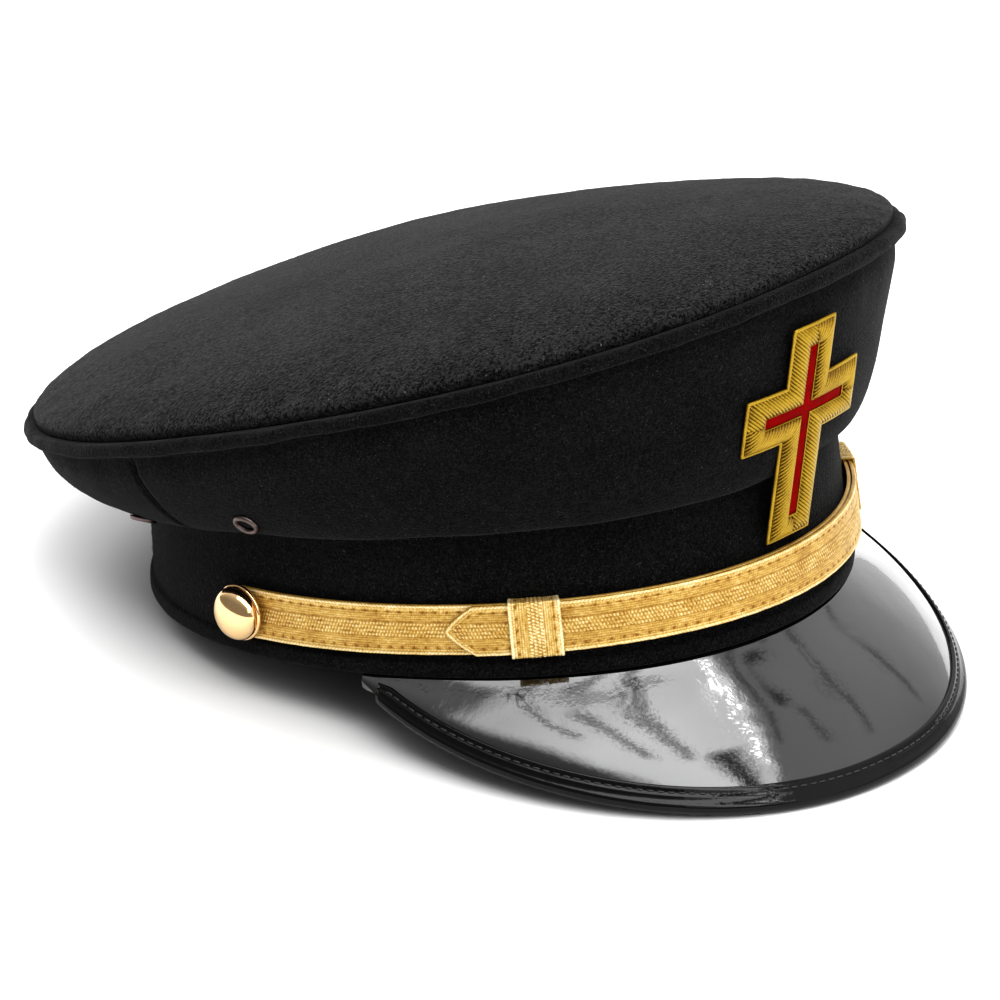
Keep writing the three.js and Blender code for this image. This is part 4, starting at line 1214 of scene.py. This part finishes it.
def make_binding():
    last = visor_turn_at(BINDING_FIRST_REACH)
    turns = np.linspace(-last, last, 240)
    edge, outward, up = edge_frame(turns)
    middle = edge - up * VISOR_THICK / 2
    length = np.linalg.norm(edge - visor_surface(turns, 0), axis=-1)
    leaf = np.minimum(VISOR_BINDING, BINDING_LEAF_SHARE * length) / length
    bead = VISOR_THICK / 2 + GAP + BINDING_WALL

    def over(back, height):
        """A point of the strip, at a share of the leaf back from the edge."""
        share = 1 - leaf * back
        return visor_surface(turns, share) + visor_up(turns, share) * height

    rows = [over(back, height) for back, height in LEAF_PROFILE]
    for angle in np.radians(np.linspace(108, -90, 22)):
        rows.append(middle + up * (bead * math.sin(angle)) + outward * (bead * math.cos(angle)))
    below = -VISOR_THICK - GAP - BINDING_WALL
    rows += [over(0.5, below), over(0.96, below + 0.1), over(1, -VISOR_THICK - 0.15)]
    outer = np.stack(rows, 1)
    count = len(rows)
    inner = []
    for number in range(count):
        part = number / (count - 1)
        if part < 0.3:
            inner.append(over(1 - part / 0.3 * 0.97, 0.1))
        elif part > 0.9:
            inner.append(over((part - 0.9) / 0.1 * 0.97 + 0.03, -VISOR_THICK - 0.1))
        else:
            angle = math.pi / 2 - math.pi * (part - 0.3) / 0.6
            radius = VISOR_THICK / 2 + 0.1
            inner.append(middle + up * (radius * math.sin(angle)) + outward * (radius * math.cos(angle)))
    inner = np.stack(inner, 1)
    shell("visor_binding_roll", outer, inner, False, "binding", ["visor_binding"])
    make_stitching(turns, leaf)


def make_stitching(turns, leaf):
    """A row of stitches along the strip of the binding."""
    line = visor_surface(turns, 1 - leaf * STITCH_PLACE)
    lengths = lengths_along(line)
    starts = np.arange(3, lengths[-1] - 5, STITCH_PITCH)
    paths, ups = [], []
    for start in starts:
        spots = start + np.linspace(0, STITCH_LENGTH, STITCH_POINTS)
        turn = np.interp(spots, lengths, turns)
        back = np.interp(spots, lengths, leaf) * STITCH_PLACE
        up = visor_up(turn, 1 - back)
        height = 0.62 + 0.38 * np.sin(np.linspace(0, math.pi, STITCH_POINTS))
        paths.append(visor_surface(turn, 1 - back) + up * height[:, None])
        ups.append(up)
    points, faces = tubes(np.array(paths), np.array(ups), 0.26, 0.24, 8)
    new_piece("visor_stitching", points, faces, "stitch")


# Camera, light and floor

CAMERA_TURN = math.radians(-46.253)
CAMERA_RISE = math.radians(19.772)
CAMERA_ROLL = math.radians(-5.440)
CAMERA_DISTANCE = 2767.2
CAMERA_TARGET = np.array([0.0, -10.0, 45.0])
AIM_RIGHT = -6.81
AIM_UP = -23.97
SENSOR = 36.0
FOCAL_SHARE = 9.8078


def make_camera():
    back = np.array([math.sin(CAMERA_TURN) * math.cos(CAMERA_RISE),
                     -math.cos(CAMERA_TURN) * math.cos(CAMERA_RISE), math.sin(CAMERA_RISE)])
    level = np.array([math.cos(CAMERA_TURN), math.sin(CAMERA_TURN), 0])
    above = np.cross(back, level)
    right = math.cos(CAMERA_ROLL) * level + math.sin(CAMERA_ROLL) * above
    up = math.cos(CAMERA_ROLL) * above - math.sin(CAMERA_ROLL) * level
    place = CAMERA_TARGET + back * CAMERA_DISTANCE
    aim = CAMERA_TARGET + right * AIM_RIGHT + up * AIM_UP
    place, aim, above = (placed(p) for p in (place, aim, aim + up * 100))
    back = unit(place - aim)
    up = above - aim
    up = unit(up - back * (up @ back))
    right = np.cross(up, back)
    data = bpy.data.cameras.new("camera")
    data.sensor_width = SENSOR
    data.lens = SENSOR * FOCAL_SHARE
    data.clip_end = 50
    camera = bpy.data.objects.new("camera", data)
    bpy.context.scene.collection.objects.link(camera)
    columns = np.eye(4)
    columns[:3, 0], columns[:3, 1], columns[:3, 2], columns[:3, 3] = right, up, back, place
    camera.matrix_world = Matrix(columns.tolist())
    bpy.context.scene.camera = camera


def soft_box(name, place, size, power):
    """A square area light that looks at the cap."""
    data = bpy.data.lights.new(name, "AREA")
    data.shape = "RECTANGLE"
    data.size, data.size_y = size
    data.energy = power
    light = bpy.data.objects.new(name, data)
    light.location = place
    light.rotation_euler = (Vector((0, 0, 0.07)) - Vector(place)).to_track_quat("-Z", "Y").to_euler()
    bpy.context.scene.collection.objects.link(light)


# Darker bars across the glow: slant, place, half width, two ends and depth
DARK_BARS = ((-0.38, -0.385, 0.015, -0.08, 0.2, 0.8), (-0.38, -0.25, 0.025, -0.36, 0.04, 0.7),
             (-0.38, -0.095, 0.03, -0.44, 0.0, 0.7), (-0.38, 0.07, 0.06, -0.95, -0.44, 0.95),
             (-0.38, 0.38, 0.018, -0.5, -0.1, 0.6), (0.0, 0.5, 0.03, -0.25, -0.16, 0.8),
             (0.21, 0.54, 0.018, -0.52, -0.28, 0.5), (0.51, 0.74, 0.02, -0.46, -0.12, 0.55),
             (1.2, 1.27, 0.03, -0.18, 0.0, 0.5))
GLOW_SLANT = -0.38
SKY_GLOW = 3.1
FALL_GLOW = 0.23
SLIT_GLOW = 5.0
SIDE_GLOW = 0.14


def make_sky(cap):
    """A dim studio with a wide soft glow overhead, a bright slit and a few darker bars."""
    world = bpy.data.worlds.new("studio")
    world.use_nodes = True
    tree = world.node_tree
    look = node(tree, "ShaderNodeTexCoord").outputs["Generated"]
    x, y, z = node(tree, "ShaderNodeSeparateXYZ", {0: look}).outputs
    wobble = spread(tree, noise(tree, look, 5, 1), 0.3, 0.7, -0.02, 0.02)
    ragged = spread(tree, noise(tree, look, 70, 2, 0.6), 0.3, 0.7, -0.03, 0.03)
    lean = calc(tree, "ADD", calc(tree, "ADD", calc(tree, "ARCTAN2", x, z), wobble), ragged)

    def slanted(slant):
        return calc(tree, "MULTIPLY_ADD", calc(tree, "ADD", y, 0.2), slant, lean)

    across = slanted(GLOW_SLANT)
    glow = calc(tree, "MULTIPLY", soft_span(tree, lean, -0.6, 3, 0.1),
                soft_span(tree, across, -3, 0.27, 0.04))
    glow = calc(tree, "MULTIPLY", glow, soft_span(tree, y, -0.9, 0.22, 0.045))
    glow = calc(tree, "MULTIPLY", glow, spread(tree, y, -0.2, 0.12, 1.0, 0.66))
    glow = calc(tree, "MULTIPLY", glow, spread(tree, across, -0.1, 0.25, 1.0, 0.72))
    fall = calc(tree, "MULTIPLY", soft_span(tree, lean, -0.5, 1.35, 0.6), FALL_GLOW)
    broken = spread(tree, noise(tree, look, 45, 1), 0.42, 0.55)
    slit = calc(tree, "MULTIPLY", soft_span(tree, across, 0.199, 0.213, 0.006), broken)
    slit = calc(tree, "MULTIPLY", slit, soft_span(tree, y, -0.6, -0.12, 0.05))
    slit = calc(tree, "MULTIPLY", slit, SLIT_GLOW)
    above = calc(tree, "GREATER_THAN", z, 0.0)
    lit = calc(tree, "MULTIPLY", calc(tree, "ADD", calc(tree, "ADD", glow, fall), slit), above)
    side = calc(tree, "MULTIPLY", soft_span(tree, lean, 1.3, 2.4, 0.3), soft_span(tree, y, 0.05, 2, 0.35))
    lit = calc(tree, "MULTIPLY_ADD", side, SIDE_GLOW, lit)
    strength = calc(tree, "MULTIPLY_ADD", lit, SKY_GLOW * cap.stage.power, cap.stage.surround)
    for slant, place, width, low, high, depth in DARK_BARS:
        bar = calc(tree, "MULTIPLY", soft_span(tree, slanted(slant), place - width, place + width, width),
                   soft_span(tree, y, low, high, 0.03))
        strength = calc(tree, "MULTIPLY", strength, calc(tree, "MULTIPLY_ADD", bar, -depth, 1.0))
    wire(tree, tree.nodes["Background"].inputs["Strength"], strength)
    tree.nodes["Background"].inputs["Color"].default_value = (1, 1, 1, 1)
    bpy.context.scene.world = world


def soft_span(tree, value, low, high, edge):
    """1 between two values, falling softly to 0 past them."""
    rise, fall = (
        node(tree, "ShaderNodeMapRange", {0: value, 1: outside, 2: inside}, interpolation_type="SMOOTHSTEP")
        for outside, inside in ((low - edge, low + edge), (high + edge, high - edge)))
    return calc(tree, "MULTIPLY", rise.outputs[0], fall.outputs[0])


def make_stage(cap):
    power = cap.stage.power
    soft_box("light_front", (-0.9, -1.9, 0.95), (0.9, 0.6), 1.5 * power)
    soft_box("light_back", (0.1, 1.3, 1.5), (1.2, 0.8), 8 * power)
    make_sky(cap)
    view = bpy.context.scene.view_settings
    view.view_transform = "Standard"
    view.look = "High Contrast"
    size = 8.0
    mesh = bpy.data.meshes.new("floor")
    corners = [(-size, -size, 0), (size, -size, 0), (size, size, 0), (-size, size, 0)]
    mesh.from_pydata(corners, [], [(0, 1, 2, 3)])
    mesh.materials.append(FINISHES["floor"])
    floor = bpy.data.objects.new("floor", mesh)
    bpy.context.scene.collection.objects.link(floor)


# Settings, operators and panel

def colour_setting(name, description, default):
    return FloatVectorProperty(name=name, description=description, default=default,
                               min=0, max=1, subtype="COLOR")


class CapWool(bpy.types.PropertyGroup):
    dark: colour_setting("Dark wool", "Colour between the wool's fibres", (0.0015, 0.0015, 0.0016))
    light: colour_setting("Light wool", "Colour of the wool's raised fibres", (0.0145, 0.0145, 0.0147))
    # Painted light: the top's cloth is the same as the sides', made lighter here because the top is lit more.
    top: colour_setting("Top wool", "Colour of the raised fibres of the crown top", (0.037, 0.037, 0.0375))
    fibres: IntProperty(name="Loose fibres", description="Number of loose fibres on the wool",
                        default=12500, min=0, max=14000)
    fibre_length: FloatProperty(name="Fibre length", description="Length of a loose fibre",
                                default=0.001, min=0.0002, max=0.005, subtype="DISTANCE", unit="LENGTH")


class CapLace(bpy.types.PropertyGroup):
    # The hollows colour is painted shade in the lace's holes and grooves.
    hollow_painted_shade: colour_setting("Hollows", "Colour in the hollows of the lace", (0.28, 0.125, 0.014))
    thread: colour_setting("Threads", "Colour of the lace's flat threads", (0.6, 0.4, 0.11))
    # The glints colour is a painted highlight on the lace's raised cords and beads.
    painted_glint: colour_setting("Glints", "Colour of the lace's raised cords", (0.93, 0.8, 0.53))


class CapCross(bpy.types.PropertyGroup):
    # The hollows colour is painted shade between the gold threads.
    hollow_painted_shade: colour_setting("Hollows", "Colour between the gold threads", (0.09, 0.038, 0.0007))
    gold: colour_setting("Gold thread", "Colour of the gold threads", (0.15, 0.08, 0.001))
    # The glints colour is a painted highlight on the tops of the gold threads.
    painted_glint: colour_setting("Glints", "Colour of the tops of the gold threads", (0.46, 0.31, 0.03))
    thread_pitch: FloatProperty(name="Thread pitch", description="Distance from thread to thread",
                                default=0.00118, min=0.0004, max=0.004, subtype="DISTANCE", unit="LENGTH")


class CapMetal(bpy.types.PropertyGroup):
    gilt: colour_setting("Gilt", "Colour of the polished buttons", (0.9, 0.64, 0.36))
    eyelet: colour_setting("Eyelets", "Colour of the eyelets' metal", (0.15, 0.12, 0.115))


class CapVisor(bpy.types.PropertyGroup):
    leather: colour_setting("Leather", "Colour of the patent leather", (0.006, 0.006, 0.007))


class CapStage(bpy.types.PropertyGroup):
    power: FloatProperty(name="Light", description="Strength of all the soft boxes",
                         default=1.0, min=0.1, max=5)
    surround: FloatProperty(name="Surround", description="Strength of the light from all round",
                            default=0.25, min=0, max=3)


class CapSettings(bpy.types.PropertyGroup):
    wool: PointerProperty(type=CapWool, name="Wool", description="The cap's black cloth")
    lace: PointerProperty(type=CapLace, name="Lace", description="The chin strap's gold lace")
    cross: PointerProperty(type=CapCross, name="Cross", description="The embroidered cross")
    metal: PointerProperty(type=CapMetal, name="Metal", description="Buttons and eyelets")
    visor: PointerProperty(type=CapVisor, name="Visor", description="The visor and its binding")
    stage: PointerProperty(type=CapStage, name="Stage", description="Floor and lights")


class CAP_OT_camera(bpy.types.Operator):
    """Place the camera at the cap's front right"""
    bl_idname = "cap.camera"
    bl_label = "Camera"

    def execute(self, context):
        make_camera()
        return {"FINISHED"}


class CAP_OT_finishes(bpy.types.Operator):
    """Make the materials of all the pieces"""
    bl_idname = "cap.finishes"
    bl_label = "Finishes"

    def execute(self, context):
        make_finishes(context.scene.cap)
        return {"FINISHED"}


class CAP_OT_crown(bpy.types.Operator):
    """Make the crown's top, its side panels and the welt between them"""
    bl_idname = "cap.crown"
    bl_label = "Crown"

    def execute(self, context):
        make_crown_top()
        make_crown_sides()
        make_welt()
        return {"FINISHED"}


class CAP_OT_band(bpy.types.Operator):
    """Make the head band with its hem"""
    bl_idname = "cap.band"
    bl_label = "Head band"

    def execute(self, context):
        make_band()
        return {"FINISHED"}


class CAP_OT_fuzz(bpy.types.Operator):
    """Scatter loose fibres over the wool"""
    bl_idname = "cap.fuzz"
    bl_label = "Loose fibres"

    def execute(self, context):
        make_fuzz(context.scene.cap)
        return {"FINISHED"}


class CAP_OT_eyelets(bpy.types.Operator):
    """Make the four metal eyelets"""
    bl_idname = "cap.eyelets"
    bl_label = "Eyelets"

    def execute(self, context):
        make_eyelets()
        return {"FINISHED"}


class CAP_OT_strap(bpy.types.Operator):
    """Make the lace chin strap and its keepers"""
    bl_idname = "cap.strap"
    bl_label = "Chin strap"

    def execute(self, context):
        make_strap()
        return {"FINISHED"}


class CAP_OT_buttons(bpy.types.Operator):
    """Make the two dome buttons"""
    bl_idname = "cap.buttons"
    bl_label = "Buttons"

    def execute(self, context):
        make_buttons()
        return {"FINISHED"}


class CAP_OT_cross(bpy.types.Operator):
    """Make the embroidered cross of gold and red thread"""
    bl_idname = "cap.cross"
    bl_label = "Cross"

    def execute(self, context):
        make_cross(context.scene.cap)
        return {"FINISHED"}


class CAP_OT_visor(bpy.types.Operator):
    """Make the patent leather visor, its binding and the stitches"""
    bl_idname = "cap.visor"
    bl_label = "Visor"

    def execute(self, context):
        make_visor()
        return {"FINISHED"}


class CAP_OT_stage(bpy.types.Operator):
    """Make the floor, the soft boxes and the surround"""
    bl_idname = "cap.stage"
    bl_label = "Stage"

    def execute(self, context):
        make_stage(context.scene.cap)
        return {"FINISHED"}


OPERATORS = (CAP_OT_camera, CAP_OT_finishes, CAP_OT_crown, CAP_OT_band, CAP_OT_fuzz, CAP_OT_eyelets,
             CAP_OT_strap, CAP_OT_buttons, CAP_OT_cross, CAP_OT_visor, CAP_OT_stage)


class CAP_PT_panel(bpy.types.Panel):
    """Settings and steps of the fatigue cap"""
    bl_idname = "CAP_PT_panel"
    bl_label = "Fatigue cap"
    bl_space_type = "VIEW_3D"
    bl_region_type = "UI"
    bl_category = "Cap"

    def draw(self, context):
        cap = context.scene.cap
        for group in (cap.wool, cap.lace, cap.cross, cap.metal, cap.visor, cap.stage):
            box = self.layout.box()
            for key in group.__annotations__:
                box.prop(group, key)
        for operator in OPERATORS:
            self.layout.operator(operator.bl_idname)


GROUPS = (CapWool, CapLace, CapCross, CapMetal, CapVisor, CapStage, CapSettings)


def register():
    for made in (*GROUPS, *OPERATORS, CAP_PT_panel):
        bpy.utils.register_class(made)
    bpy.types.Scene.cap = PointerProperty(type=CapSettings)


def unregister():
    del bpy.types.Scene.cap
    for made in reversed((*GROUPS, *OPERATORS, CAP_PT_panel)):
        bpy.utils.unregister_class(made)


def main():
    register()
    for step in (bpy.ops.cap.camera, bpy.ops.cap.finishes, bpy.ops.cap.crown, bpy.ops.cap.band,
                 bpy.ops.cap.fuzz, bpy.ops.cap.eyelets, bpy.ops.cap.strap, bpy.ops.cap.buttons,
                 bpy.ops.cap.cross, bpy.ops.cap.visor, bpy.ops.cap.stage):
        step()


if __name__ == "__main__":
    main()
